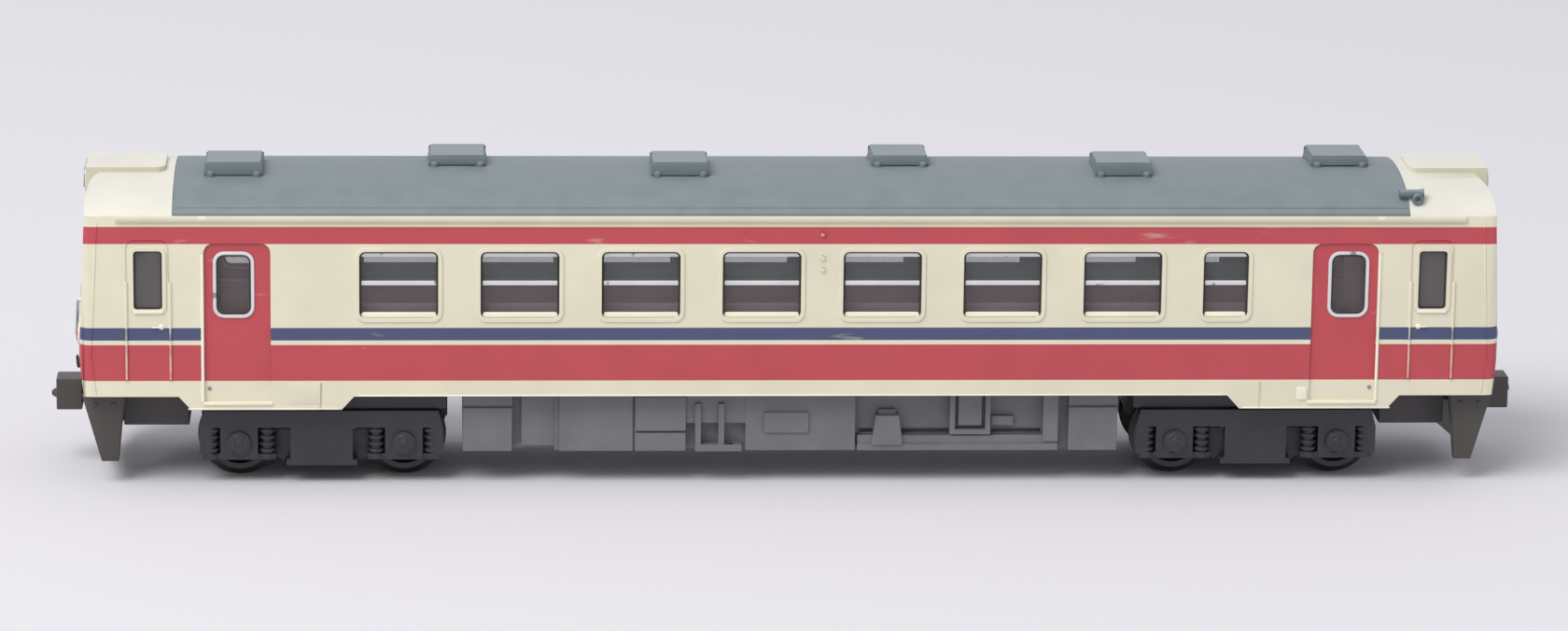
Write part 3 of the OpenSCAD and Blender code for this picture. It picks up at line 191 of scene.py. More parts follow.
# %% [markdown]
# Moulded plastic is never one flat colour. Its tone drifts a little over a few millimetres, its gloss is
# patchy and a fine grain breaks up the highlights. All finishes here share that recipe: slow noise moves
# the colour and the roughness, and fast noise feeds a bump. The noise reads Object coordinates, so it sits
# still on the model from every side.

# %% Plastic recipe
NOISE_LOW = 0.3
NOISE_HIGH = 0.7
ROUGH_DRIFT = 0.07
GRAIN_DEPTH = 0.1


def noise(tree, place, scale, detail):
    return new_node(tree, "ShaderNodeTexNoise", Vector=place, Scale=scale, Detail=detail).outputs["Fac"]


def blend(tree, share, first, second, kind="MIX"):
    made = tree.nodes.new("ShaderNodeMix")
    made.data_type = "RGBA"
    made.blend_type = kind
    for socket, value in zip((made.inputs[0], made.inputs[6], made.inputs[7]), (share, first, second)):
        feed(tree, socket, value)
    return made.outputs[2]


def scaled(tree, value, low, high, new_low=0.0, new_high=1.0):
    made = new_node(tree, "ShaderNodeMapRange", Value=value, From_Min=low, From_Max=high,
                    To_Min=new_low, To_Max=new_high)
    return made.outputs["Result"]


def moulded(name, base, drift=0.08, rough=0.45, patch=350, grain=5000, bump=0.06, metal=0.0, alpha=1.0):
    """A finish from a colour and a cover, or from functions that make them from the place on the model."""
    finish = bpy.data.materials.new(name)
    finish.use_nodes = True
    tree = finish.node_tree
    shader = tree.nodes["Principled BSDF"]
    place = tree.nodes.new("ShaderNodeTexCoord").outputs["Object"]
    slow = noise(tree, place, patch, 3.0)
    fast = noise(tree, place, grain, 2.0)
    tone = base(tree, place) if callable(base) else base
    level = scaled(tree, slow, NOISE_LOW, NOISE_HIGH, 1 - drift, 1 + drift)
    grey = new_node(tree, "ShaderNodeCombineColor", Red=level, Green=level, Blue=level).outputs[0]
    feed(tree, shader.inputs["Base Color"], blend(tree, 1.0, tone, grey, "MULTIPLY"))
    gloss = scaled(tree, slow, NOISE_LOW, NOISE_HIGH, rough - ROUGH_DRIFT, rough + ROUGH_DRIFT)
    feed(tree, shader.inputs["Roughness"], gloss)
    relief = new_node(tree, "ShaderNodeBump", Height=fast, Strength=bump, Distance=GRAIN_DEPTH * MM)
    feed(tree, shader.inputs["Normal"], relief.outputs["Normal"])
    shader.inputs["Metallic"].default_value = metal
    feed(tree, shader.inputs["Alpha"], alpha(tree, place) if callable(alpha) else alpha)
    return finish


seat_brown = moulded("seat_brown", screen_colour(212, 200, 201), drift=0.1, rough=0.6)
ledge_brown = moulded("ledge_brown", screen_colour(146, 138, 140), drift=0.1, rough=0.6)
chassis_black = moulded("chassis_black", screen_colour(44, 43, 46), drift=0.12, rough=0.5)
box_dark = moulded("box_dark", screen_colour(92, 88, 90), drift=0.12, rough=0.5)
equipment_grey = moulded("equipment_grey", screen_colour(109, 111, 113), drift=0.1, rough=0.5)
bogie_dark = moulded("bogie_dark", screen_colour(47, 46, 52), drift=0.14, rough=0.45)
coupler_dark = moulded("coupler_dark", screen_colour(71, 67, 65), drift=0.12, rough=0.45)
steel = moulded("steel", screen_colour(176, 178, 182), drift=0.08, rough=0.3, metal=1.0)
wheel_metal = moulded("wheel_metal", screen_colour(62, 60, 61), drift=0.12, rough=0.42, metal=0.6)
# A cream paler than the wall for trim, brightened further as painted highlight where steps, sills and beads
# catch the light.
trim_cream_highlight = moulded("trim_cream_highlight", screen_colour(238, 233, 214), drift=0.04, rough=0.4)
seal_black = moulded("seal_black", screen_colour(42, 38, 36), drift=0.15, rough=0.6)
# The red lens of the side lamp, painted paler pink with its highlight painted in.
signal_pink_highlight = moulded("signal_pink_highlight", screen_colour(238, 128, 130), drift=0.05, rough=0.25)
tail_lamp_red = moulded("tail_lamp_red", screen_colour(170, 24, 28), drift=0.06, rough=0.15)
headlamp_clear = moulded("headlamp_clear", screen_colour(226, 230, 232), drift=0.04, rough=0.1)
print("plain finishes share one recipe")

# %% [markdown]
# Three finishes need a pattern of their own. The silver print of the sashes is rubbed through in spots. The
# walls of the ventilators are painted darker than their tops as painted shade, so the way a face looks picks
# its grey. The lowest edge of the roof is painted darker as painted shade, so there the height picks it.

# %% Silver, ventilators and roof
SILVER = screen_colour(216, 216, 218)
PANE_GREY = screen_colour(104, 100, 102)
RUBBED_SPOTS = 800.0
VENT_TOP = screen_colour(130, 139, 144)
VENT_WALL = screen_colour(97, 110, 114)
ROOF_GREY = screen_colour(119, 130, 135)
ROOF_EDGE = screen_colour(96, 108, 108)
ROOF_EDGE_FROM = 23.92
ROOF_EDGE_TO = 24.02


def rubbed_silver(tree, place):
    spots = noise(tree, place, RUBBED_SPOTS, 4.0)
    return blend(tree, scaled(tree, spots, 0.64, 0.7, 0.0, 0.75), SILVER, PANE_GREY)


def facing(tree):
    """The way the surface looks, in its three parts."""
    normal = tree.nodes.new("ShaderNodeNewGeometry").outputs["Normal"]
    return new_node(tree, "ShaderNodeSeparateXYZ", Vector=normal).outputs


# Painted shade: steep walls get the darker grey, tops the lighter.
def vent_wall_shade_grey(tree, place):
    return blend(tree, scaled(tree, facing(tree)["Z"], 0.45, 0.85), VENT_WALL, VENT_TOP)


def spot(tree, place):
    """How far a point lies from the middle along the coach and across it, and how high."""
    split = new_node(tree, "ShaderNodeSeparateXYZ", Vector=place)
    along = maths(tree, "ABSOLUTE", split.outputs["X"])
    across = maths(tree, "ABSOLUTE", split.outputs["Y"])
    return along, across, split.outputs["Z"]


# Painted shade: the lowest edge of the roof turns darker.
def edged_grey(tree, place):
    height = spot(tree, place)[2]
    return blend(tree, scaled(tree, height, ROOF_EDGE_FROM * MM, ROOF_EDGE_TO * MM), ROOF_EDGE, ROOF_GREY)


sash_silver = moulded("sash_silver", rubbed_silver, drift=0.05, rough=0.35, metal=0.25)
vent_grey = moulded("vent_grey", vent_wall_shade_grey, drift=0.06, rough=0.5)
roof_grey = moulded("roof_grey", edged_grey, drift=0.07, rough=0.55, patch=500, grain=3500, bump=0.1)
print("patterns for silver, ventilators and roof")

# %% [markdown]
# The panes are clear plastic with a faint tint: greenish in the upper sashes and brownish in the lower ones,
# where the seats stand behind them. The side panes of the cabs are nearly closed, because nothing shows
# behind them. Clear plastic could be made with transmission. A low cover is enough for thin panes, and the
# exported model keeps it.

# %% Glazing
UPPER_PANE = screen_colour(130, 135, 136)
LOWER_PANE = screen_colour(138, 126, 130)
CAB_PANE = screen_colour(96, 92, 92)
PANE_COVER = 0.25
CAB_COVER = 0.8
SASH_MIDDLE = 17.95
SASHES_TO = 42.0
CAB_FROM = 52.0
SIDE_PANE_FROM = 8.0


def above(tree, value, limit):
    return maths(tree, "GREATER_THAN", value, limit * MM)


def below(tree, value, limit):
    return maths(tree, "LESS_THAN", value, limit * MM)


def both(tree, first, second):
    return maths(tree, "MULTIPLY", first, second)


def in_cab_side(tree, place):
    along, across, height = spot(tree, place)
    return both(tree, above(tree, along, CAB_FROM), above(tree, across, SIDE_PANE_FROM))


def pane_tone(tree, place):
    along, across, height = spot(tree, place)
    upper = both(tree, above(tree, height, SASH_MIDDLE), below(tree, along, SASHES_TO))
    tone = blend(tree, upper, LOWER_PANE, UPPER_PANE)
    return blend(tree, in_cab_side(tree, place), tone, CAB_PANE)


def pane_cover(tree, place):
    return scaled(tree, in_cab_side(tree, place), 0.0, 1.0, PANE_COVER, CAB_COVER)


glazing_clear = moulded("glazing_clear", pane_tone, drift=0.05, rough=0.12, bump=0.01, alpha=pane_cover)
print("panes cover", PANE_COVER, "of what is behind them")

# %% [markdown]
# The body is cream plastic with printed bands. A picture could be wrapped round it, but bands that follow
# the height need none: the height of a point picks its colour from a ramp with hard steps. The bands are a
# plain layout of this lesson's own. The top step, above the eave, is a paler cream as painted highlight for
# the lit top.

# %% Printed bands
BAND_FROM = 7.0
BAND_TO = 27.0
# The last step, above the eave, is painted highlight for the lit top.
BANDS = ((7.0, CREAM), (9.45, RED), (12.55, CREAM), (12.95, NAVY), (14.1, CREAM), (21.35, RED), (22.8, CREAM),
         (23.85, PALE_TOP_HIGHLIGHT))


def printed_bands(tree, height):
    ramp = tree.nodes.new("ShaderNodeValToRGB")
    ramp.color_ramp.interpolation = "CONSTANT"
    stops = ramp.color_ramp.elements
    stops.remove(stops[1])
    stops[0].color = BANDS[0][1]
    for low, band in BANDS[1:]:
        stops.new((low - BAND_FROM) / (BAND_TO - BAND_FROM)).color = band
    feed(tree, ramp.inputs["Fac"], scaled(tree, height, BAND_FROM * MM, BAND_TO * MM))
    return ramp.outputs["Color"]


print(len(BANDS), "bands from sill to eave")

# %% [markdown]
# Masks overrule the bands. The passenger doors are red. Raised edges miss some of the ink: handrails show
# cream through it, and the ridge beside each door stays pale, brightened further as painted highlight. The
# foot of the gutter and the walls of the lamp housings get painted shade, a darker cream, and the inside of
# the shell is plain. Noise drawn out along the coach leaves a few pale scuffs in the ink.

# %% Body paint
DOOR_MIDDLE = 47.0
DOOR_HALF_W = 2.8
DOOR_FACE = 9.15
DOOR_PLAY = 0.1
WALL_FACE = 9.35
WALL_INNER = 8.45
SKIN = 0.05
RAIL_CREST = 9.485
RAILS_FROM = 52.0
RIDGE_X = 49.94
RIDGE_PLAY = 0.3
GUTTER_LOW = 23.3
GUTTER_PLAY = 0.24
HOUSING_FROM = 24.3
FRONT_INNER = 58.4
CEILING = 23.7
RUBBING = 700.0
SCUFFS = 800.0


def near(tree, value, middle, play):
    return maths(tree, "COMPARE", value, middle * MM, play * MM)


def housing_wall_shade(tree, height):
    """Painted shade for steep walls above the eave, the more so the more they look sideways."""
    way = facing(tree)
    sideways = scaled(tree, maths(tree, "ABSOLUTE", way["Y"]), 0.3, 0.95)
    steep = maths(tree, "LESS_THAN", way["Z"], 0.3)
    return both(tree, above(tree, height, HOUSING_FROM), both(tree, sideways, steep))


def coach_bands(tree, place):
    along, across, height = spot(tree, place)
    on_door = both(tree, near(tree, along, DOOR_MIDDLE, DOOR_HALF_W),
                   near(tree, across, DOOR_FACE, DOOR_PLAY))
    on_door = both(tree, on_door, above(tree, height, BANDS[1][0]))
    tone = blend(tree, on_door, printed_bands(tree, height), RED)
    stretched = new_node(tree, "ShaderNodeMapping", Vector=place, Scale=(0.2, 1, 1)).outputs[0]
    scuffs = scaled(tree, noise(tree, stretched, SCUFFS, 6.0), 0.68, 0.78, 0.0, 0.4)
    rubbed = scaled(tree, noise(tree, place, RUBBING, 3.0), 0.35, 0.65, 0.1, 0.6)
    crest = both(tree, above(tree, across, RAIL_CREST), above(tree, along, RAILS_FROM))
    raised = above(tree, across, WALL_FACE + SKIN)
    # The bare ridge shows cream plastic, brightened as painted highlight.
    ridge = both(tree, raised, near(tree, along, RIDGE_X, RIDGE_PLAY))
    gutter_shade = both(tree, raised, near(tree, height, GUTTER_LOW, GUTTER_PLAY))
    shaded = maths(tree, "MAXIMUM", gutter_shade, housing_wall_shade(tree, height))
    inside = both(tree, below(tree, across, WALL_INNER + SKIN), below(tree, along, FRONT_INNER))
    inside = both(tree, inside, below(tree, height, CEILING))
    layers = ((scuffs, CREAM), (both(tree, crest, rubbed), CREAM), (ridge, RIDGE_HIGHLIGHT_CREAM),
              (shaded, SHADED_CREAM), (inside, INSIDE))
    for share, paint in layers:
        tone = blend(tree, share, tone, paint)
    return tone


body_paint = moulded("body_paint", coach_bands, drift=0.035, rough=0.4, patch=250, grain=6000, bump=0.05)
print("doors are", 2 * DOOR_HALF_W, "mm wide")

# %% [markdown]
# Real mouldings have slightly soft edges that catch the light, and a solid from CAD has none. Its mesh is
# loose triangles, so three live modifiers do the work and leave the mesh itself alone. Weld joins the
# triangles. A small node group shades gentle curves smooth, keeps the true edges sharp and marks the outer
# ones. Bevel rounds those by a few hundredths of a millimetre.

# %% Shading of curves and edges
SHARP_ANGLE = radians(32)


def smooth_shading_group():
    group = bpy.data.node_groups.new("smooth_curves", "GeometryNodeTree")
    group.interface.new_socket("Geometry", in_out="INPUT", socket_type="NodeSocketGeometry")
    group.interface.new_socket("Geometry", in_out="OUTPUT", socket_type="NodeSocketGeometry")
    start = group.nodes.new("NodeGroupInput")
    end = group.nodes.new("NodeGroupOutput")
    plain = group.nodes.new("GeometryNodeRemoveAttribute")
    plain.inputs["Name"].default_value = "custom_normal"
    faces = group.nodes.new("GeometryNodeSetShadeSmooth")
    edges = group.nodes.new("GeometryNodeSetShadeSmooth")
    edges.domain = "EDGE"
    edges.inputs["Shade Smooth"].default_value = False
    angle = group.nodes.new("GeometryNodeInputMeshEdgeAngle")
    sharp = group.nodes.new("FunctionNodeCompare")
    sharp.inputs["B"].default_value = SHARP_ANGLE
    outer = group.nodes.new("FunctionNodeCompare")
    outer.inputs["B"].default_value = SHARP_ANGLE
    marked = group.nodes.new("GeometryNodeStoreNamedAttribute")
    marked.domain = "EDGE"
    marked.inputs["Name"].default_value = "bevel_weight_edge"
    group.links.new(angle.outputs["Unsigned Angle"], sharp.inputs["A"])
    group.links.new(angle.outputs["Signed Angle"], outer.inputs["A"])
    group.links.new(sharp.outputs["Result"], edges.inputs["Selection"])
    group.links.new(outer.outputs["Result"], marked.inputs["Value"])
    group.links.new(start.outputs[0], plain.inputs["Geometry"])
    group.links.new(plain.outputs["Geometry"], faces.inputs["Geometry"])
    group.links.new(faces.outputs["Geometry"], edges.inputs["Geometry"])
    group.links.new(edges.outputs["Geometry"], marked.inputs["Geometry"])
    group.links.new(marked.outputs["Geometry"], end.inputs[0])
    return group


smooth_curves = smooth_shading_group()
print("shading group has", len(smooth_curves.nodes), "nodes")

# %% [markdown]
# Each kind of solid gets its finish and its own width of soft edge, in millimetres. The start of a solid's
# name picks the row, and the first row that fits holds, so the small parts of a coupler stand before it.

# %% Finishes of the solids
WELD_GAP = 0.0005


def soften(piece, width):
    weld = piece.modifiers.new("weld", "WELD")
    weld.merge_threshold = WELD_GAP * MM
    smooth = piece.modifiers.new("smooth_curves", "NODES")
    smooth.node_group = smooth_curves
    if width:
        bevel = piece.modifiers.new("soft_edges", "BEVEL")
        bevel.width = width * MM
        bevel.segments = 3
        bevel.limit_method = "WEIGHT"
        bevel.use_clamp_overlap = False
        bevel.harden_normals = True
        bevel.profile = 0.5


SOLID_FINISHES = (
    ("body_shell", body_paint, 0.05),
    ("roof_panel", roof_grey, 0),
    ("vent", vent_grey, 0.08),
    ("horn", vent_grey, 0.04),
    ("side_glazing", glazing_clear, 0),
    ("end_glazing", glazing_clear, 0),
    ("headlamp", headlamp_clear, 0),
    ("tail_lamp", tail_lamp_red, 0),
    ("chassis_floor", chassis_black, 0.05),
    ("ballast", steel, 0.05),
    ("seat", seat_brown, 0.08),
    ("underfloor", equipment_grey, 0.06),
    ("bogie_frame", bogie_dark, 0.05),
    ("bogie_screw", steel, 0.05),
    ("axle", steel, 0.03),
    ("wheel", wheel_metal, 0.04),
    ("coupler_box", box_dark, 0.08),
    ("coupler_pin", steel, 0.04),
    ("coupler_spring", steel, 0),
    ("coupler", coupler_dark, 0.1),
    ("snow_plough", coupler_dark, 0))

for name, solid in nodes.items():
    finish, width = next(row[1:] for row in SOLID_FINISHES if name.startswith(row[0]))
    solid.data.materials.clear()
    solid.data.materials.append(finish)
    soften(solid, width)
print(len(nodes), "solids have a finish and soft edges")

# %% [markdown]
# The thin trim comes next: gaskets, bars, frames, handles. Most of it is flat or turned, so a few helpers do
# for the whole coach. A panel starts as one square face whose corners are rounded, an inset turns it into a
# ring, and pulling it towards the viewer gives it thickness. Sizes are in millimetres, and every shape is
# drawn facing the near side.

# %% Flat shapes
CORNER_TURN = radians(50)


def points_in(geometry):
    return [part for part in geometry if isinstance(part, bmesh.types.BMVert)]


def moved(shape, place):
    bmesh.ops.translate(shape, vec=place, verts=shape.verts)
    return shape


def turned_by(shape, angle, axis):
    bmesh.ops.rotate(shape, matrix=Matrix.Rotation(angle, 3, axis), verts=shape.verts)
    return shape


def flat_panel(width, height, radius):
    """One flat face with round corners, its middle at the origin, facing the near side."""
    shape = bmesh.new()
    bmesh.ops.create_grid(shape, x_segments=1, y_segments=1, size=0.5)
    bmesh.ops.scale(shape, vec=(width, height, 1), verts=shape.verts)
    bmesh.ops.bevel(shape, geom=shape.verts[:], offset=radius, affect="VERTICES", segments=5, profile=0.5,
                    material=-1)
    return turned_by(shape, pi / 2, "X")


def flat_ring(width, height, radius, band):
    """A flat panel with all but its outer band cut away."""
    shape = flat_panel(width, height, radius)
    middle = shape.faces[:]
    bmesh.ops.inset_region(shape, faces=middle, thickness=band, use_boundary=True, use_even_offset=True)
    bmesh.ops.delete(shape, geom=middle, context="FACES")
    return shape


def pulled_out(shape, depth, soft=0.0):
    """Gives a flat shape thickness towards the viewer, and soft edges where asked."""
    front = bmesh.ops.extrude_face_region(shape, geom=shape.faces[:], use_keep_orig=True)["geom"]
    bmesh.ops.translate(shape, vec=(0, -depth, 0), verts=points_in(front))
    bmesh.ops.recalc_face_normals(shape, faces=shape.faces)
    if soft:
        edges = [edge for edge in shape.edges if edge.calc_face_angle(0) > CORNER_TURN]
        bmesh.ops.bevel(shape, geom=edges, offset=soft, affect="EDGES", segments=2, profile=0.5, material=-1)
    return shape


print("flat shapes are ready")

# %% [markdown]
# Trim comes in rows and pairs, so a shape is set at several places, mirrored to the other side or end, and
# joined with others to one mesh. The finished mesh becomes an object at the origin, with its place in its
# points, and rides on a body of the frame.

# %% Copies and pieces
def all_of(shape):
    return shape.verts[:] + shape.edges[:] + shape.faces[:]


def repeated(shape, places):
    """The same shape at each of several places."""
    first = all_of(shape)
    for place in places:
        copy = bmesh.ops.duplicate(shape, geom=first)["geom"]
        bmesh.ops.translate(shape, vec=place, verts=points_in(copy))
    bmesh.ops.delete(shape, geom=points_in(first), context="VERTS")
    return shape


def mirrored(shape, *axes):
    """Adds the mirror image across the middle of the coach."""
    for axis in axes:
        bmesh.ops.mirror(shape, geom=all_of(shape), matrix=Matrix.Identity(4), merge_dist=0, axis=axis)
    return shape


def joined(*shapes):
    whole = shapes[0]
    for shape in shapes[1:]:
        spare = bpy.data.meshes.new("spare")
        shape.to_mesh(spare)
        shape.free()
        whole.from_mesh(spare)
        bpy.data.meshes.remove(spare)
    return whole


def add_piece(name, shape, finish, body="root"):
    """Makes an object of a shape drawn in millimetres and lets it ride on a body of the frame."""
    bmesh.ops.recalc_face_normals(shape, faces=shape.faces)
    bmesh.ops.scale(shape, vec=(MM, MM, MM), verts=shape.verts)
    data = bpy.data.meshes.new(name)
    shape.to_mesh(data)
    shape.free()
    data.materials.append(finish)
    data.shade_smooth()
    data.set_sharp_from_angle(angle=SHARP_ANGLE)
    piece = bpy.data.objects.new(name, data)
    bpy.context.scene.collection.objects.link(piece)
    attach(piece, body)
    print(name, len(data.polygons), "faces")


print("copies and pieces are ready")

# %% [markdown]
# Each side window is a clear pane in a black rubber gasket. On the model the gasket is a thin raised line
# round the pane, just inside the cream rim of the wall; its black also stands in as painted shadow along the
# dark edge of the opening. One ring is made and set at every window of the row, and a narrower one at the
# small window.

# %% Window gaskets
GASKET_BACK = 9.04
GASKET_DEPTH = 0.13
GASKET_BAND = 0.16
GASKET_SOFT = 0.03
FIT = 0.02
WINDOW_W = 6.65
WINDOW_H = 5.75
WINDOW_R = 0.5
WINDOW_LOW = 14.95
WINDOW_FIRST = -33.4
WINDOW_LAST = 28.0
WINDOW_COUNT = 7
SMALL_WINDOW_X = 36.8
SMALL_WINDOW_W = 3.85

window_mid = WINDOW_LOW + WINDOW_H / 2
window_step = (WINDOW_LAST - WINDOW_FIRST) / (WINDOW_COUNT - 1)
window_row = [WINDOW_FIRST + window_step * number for number in range(WINDOW_COUNT)]


def gasket(width, height, radius, band=GASKET_BAND):
    return pulled_out(flat_ring(width - FIT, height - FIT, radius, band), GASKET_DEPTH, GASKET_SOFT)


# The black ring is a gasket and painted shadow at the edge of each opening.
gaskets = repeated(gasket(WINDOW_W, WINDOW_H, WINDOW_R), [(x, -GASKET_BACK, window_mid) for x in window_row])
small_gasket = moved(gasket(SMALL_WINDOW_W, WINDOW_H, WINDOW_R), (SMALL_WINDOW_X, -GASKET_BACK, window_mid))
add_piece("window_gaskets", mirrored(joined(gaskets, small_gasket), "Y"), seal_black)

# %% [markdown]
# The sashes of the real windows are bare aluminium. The model has them printed in silver on raised bars of
# the pane, one in the middle and one at the top. They are made as thin bars with soft edges, a little lower
# than the gasket. Printed silver wears, so its finish lets the grey pane show in small spots. The foot of
# each window has a cream sill, which covers the gasket there; its pale cream is partly painted highlight for
# the lit foot of the opening.

# %% Sash bars and window sills
BAR_HEIGHTS = (SASH_MIDDLE, 20.42)
BAR_H = 0.4
BAR_R = 0.08
BAR_DEPTH = 0.11
BAR_SOFT = 0.04
SILL_H = 0.46
SILL_R = 0.22
SILL_DEPTH = 0.15


def window_bars(height, radius, depth, levels):
    """Bars of one kind across every window, at the given levels."""
    sets = []
    for width, row in ((WINDOW_W, window_row), (SMALL_WINDOW_W, [SMALL_WINDOW_X])):
        bar = pulled_out(flat_panel(width - 2 * GASKET_BAND, height, radius), depth, BAR_SOFT)
        sets.append(repeated(bar, [(x, -GASKET_BACK, level) for x in row for level in levels]))
    return mirrored(joined(*sets), "Y")


add_piece("sash_bars", window_bars(BAR_H, BAR_R, BAR_DEPTH, BAR_HEIGHTS), sash_silver)
# The sill's pale cream is partly painted highlight for the lit foot of the opening.
sill_mid = WINDOW_LOW + FIT + SILL_H / 2
add_piece("window_sills", window_bars(SILL_H, SILL_R, SILL_DEPTH, [sill_mid]), trim_cream_highlight)

# %% [markdown]
# Behind the glass a ledge runs along each wall and shows just above the sills. It is all that shows of the
# inside besides the seats, and it closes the view out through the far windows from below.

# %% Window ledges
LEDGE_Y = 7.7
LEDGE_LOW = 15.0
LEDGE_TOP = 15.85
LEDGE_HALF_L = 41.0
LEDGE_DEPTH = 0.2
LEDGE_R = 0.1

ledge = pulled_out(flat_panel(2 * LEDGE_HALF_L, LEDGE_TOP - LEDGE_LOW, LEDGE_R), LEDGE_DEPTH, soft=0.05)
moved(ledge, (0, -LEDGE_Y + LEDGE_DEPTH, (LEDGE_LOW + LEDGE_TOP) / 2))
add_piece("window_ledges", mirrored(ledge, "Y"), ledge_brown)

# %% [markdown]
# A passenger door has a tall window with very round corners in a silver frame with a line of rubber inside
# it, whose black also stands in as painted shadow inside the frame. The cab door has a narrow window in
# rubber with a pale sill on the lower lip of its rim, a painted highlight where the lip catches the light.
# The frames are rings again, with softer edges on the metal one so that it catches the light along its crown.

# %% Door and cab window frames
DOOR_WINDOW_X = 47.3
DOOR_WINDOW_W = 3.2
DOOR_WINDOW_H = 5.46
DOOR_WINDOW_LOW = 15.1
FRAME_LAP = 0.15
FRAME_BAND = 0.3
FRAME_R = 0.95
FRAME_DEPTH = 0.17
RUBBER_DEPTH = 0.1
CAB_WINDOW_X = 54.5
CAB_WINDOW_W = 2.4
CAB_WINDOW_H = 5.06
CAB_WINDOW_LOW = 15.7
CAB_WINDOW_R = 0.3
CAB_GASKET_BAND = 0.14
CAB_SILL_LAP = 0.05
CAB_SILL_H = 0.28
CAB_SILL_R = 0.1
CAB_SILL_DEPTH = 0.07
CAB_SILL_DROP = 0.17
RIM_FACE = 9.47

door_window_mid = (DOOR_WINDOW_X, -DOOR_FACE + FIT, DOOR_WINDOW_LOW + DOOR_WINDOW_H / 2)
frame_w = DOOR_WINDOW_W + 2 * FRAME_LAP
frame_h = DOOR_WINDOW_H + 2 * FRAME_LAP
door_frame = pulled_out(flat_ring(frame_w, frame_h, FRAME_R, FRAME_BAND), FRAME_DEPTH, soft=0.07)
add_piece("door_window_frames", mirrored(moved(door_frame, door_window_mid), "X", "Y"), sash_silver)
rubber_w = frame_w - 2 * FRAME_BAND + FIT
rubber_h = frame_h - 2 * FRAME_BAND + FIT
rubber_r = FRAME_R - FRAME_BAND
# The black line inside the frame is rubber and painted shadow.
door_shadow_rubber = pulled_out(flat_ring(rubber_w, rubber_h, rubber_r, GASKET_BAND), RUBBER_DEPTH, GASKET_SOFT)
add_piece("door_window_shadow_rubbers", mirrored(moved(door_shadow_rubber, door_window_mid), "X", "Y"),
          seal_black)

cab_gasket = gasket(CAB_WINDOW_W, CAB_WINDOW_H, CAB_WINDOW_R, CAB_GASKET_BAND)
moved(cab_gasket, (CAB_WINDOW_X, -GASKET_BACK, CAB_WINDOW_LOW + CAB_WINDOW_H / 2))
add_piece("cab_window_gaskets", mirrored(cab_gasket, "X", "Y"), seal_black)

# The pale sill is a painted highlight on the lower lip of the rim.
cab_sill_w = CAB_WINDOW_W + 2 * CAB_SILL_LAP
cab_sill = pulled_out(flat_panel(cab_sill_w, CAB_SILL_H, CAB_SILL_R), CAB_SILL_DEPTH, soft=0.025)
moved(cab_sill, (CAB_WINDOW_X, -RIM_FACE + FIT, CAB_WINDOW_LOW - CAB_SILL_DROP))
add_piece("cab_window_highlight_sills", mirrored(cab_sill, "X", "Y"), trim_cream_highlight)

# %% [markdown]
# Round parts such as knobs, lamps and sockets are turned on a lathe in the real world, and in bmesh by spin:
# a profile of a few points, given as radius and depth, sweeps a full circle. Bars and hinges are short rods
# between two points.

# %% Turned shapes and rods
RIM_TURN = radians(70)


def turned(profile, steps=20):
    """A profile of (radius, depth) points swept once round an axis that faces the near side."""
    shape = bmesh.new()
    points = [shape.verts.new((radius, -depth, 0)) for radius, depth in profile]
    for start, end in zip(points, points[1:]):
        shape.edges.new((start, end))
    bmesh.ops.spin(shape, geom=all_of(shape), cent=(0, 0, 0), axis=(0, 1, 0), angle=2 * pi, steps=steps,
                   use_merge=True)
    bmesh.ops.remove_doubles(shape, verts=shape.verts, dist=WELD_GAP)
    return shape


def rod(start, end, radius, sides=10):
    """A round bar between two points, with softened rims."""
    along = Vector(end) - Vector(start)
    shape = bmesh.new()
    bmesh.ops.create_cone(shape, cap_ends=True, segments=sides, radius1=radius, radius2=radius,
                          depth=along.length)
    rims = [edge for edge in shape.edges if edge.calc_face_angle(0) > RIM_TURN]
    bmesh.ops.bevel(shape, geom=rims, offset=radius * 0.3, affect="EDGES", segments=2, profile=0.5,
                    material=-1)
    turn = Vector((0, 0, 1)).rotation_difference(along).to_matrix()
    bmesh.ops.rotate(shape, matrix=turn, verts=shape.verts)
    return moved(shape, (Vector(start) + Vector(end)) / 2)


print("lathe and rod helpers are ready")

# %% [markdown]
# Small things on the doors: a cream step under each passenger door, a dull lock near its foot, and a lever
# handle on each cab door. The step's pale cream is partly painted highlight for the lit ledge under the door.
# On the real coach the step is a folding plate and the lock a square key hole in a round plate. A lever is a
# short rod on a turned boss.

# %% Door furniture
STEP_X = 47.0
STEP_Z = 7.55
STEP_W = 5.9
STEP_H = 0.3
STEP_DEPTH = 0.2
STEP_R = 0.1
LOCK_X = 49.4
LOCK_Z = 8.8
HANDLE_X = 53.4
HANDLE_Z = 14.2
LEVER_OUT = 0.16
LEVER_R = 0.075

# The step's pale cream is partly painted highlight for the lit ledge.
step = pulled_out(flat_panel(STEP_W, STEP_H, STEP_R), STEP_DEPTH, soft=0.05)
add_piece("door_steps", mirrored(moved(step, (STEP_X, -WALL_FACE + SKIN, STEP_Z)), "X", "Y"),
          trim_cream_highlight)

lock = turned(((0, -0.02), (0.17, -0.02), (0.17, 0.05), (0.13, 0.09), (0.07, 0.09), (0.06, 0.05), (0, 0.05)))
add_piece("door_locks", mirrored(moved(lock, (LOCK_X, -DOOR_FACE, LOCK_Z)), "X", "Y"),
          ledge_brown)

boss = turned(((0, -0.02), (0.24, -0.02), (0.24, 0.04), (0.2, 0.09), (0.12, 0.11), (0.11, 0.2), (0, 0.2)))
lever = rod((-0.08, -LEVER_OUT, 0), (0.8, -LEVER_OUT, 0), LEVER_R)
handle = moved(joined(boss, lever), (HANDLE_X, -WALL_FACE, HANDLE_Z))
add_piece("cab_door_handles", mirrored(handle, "X", "Y"), trim_cream_highlight)

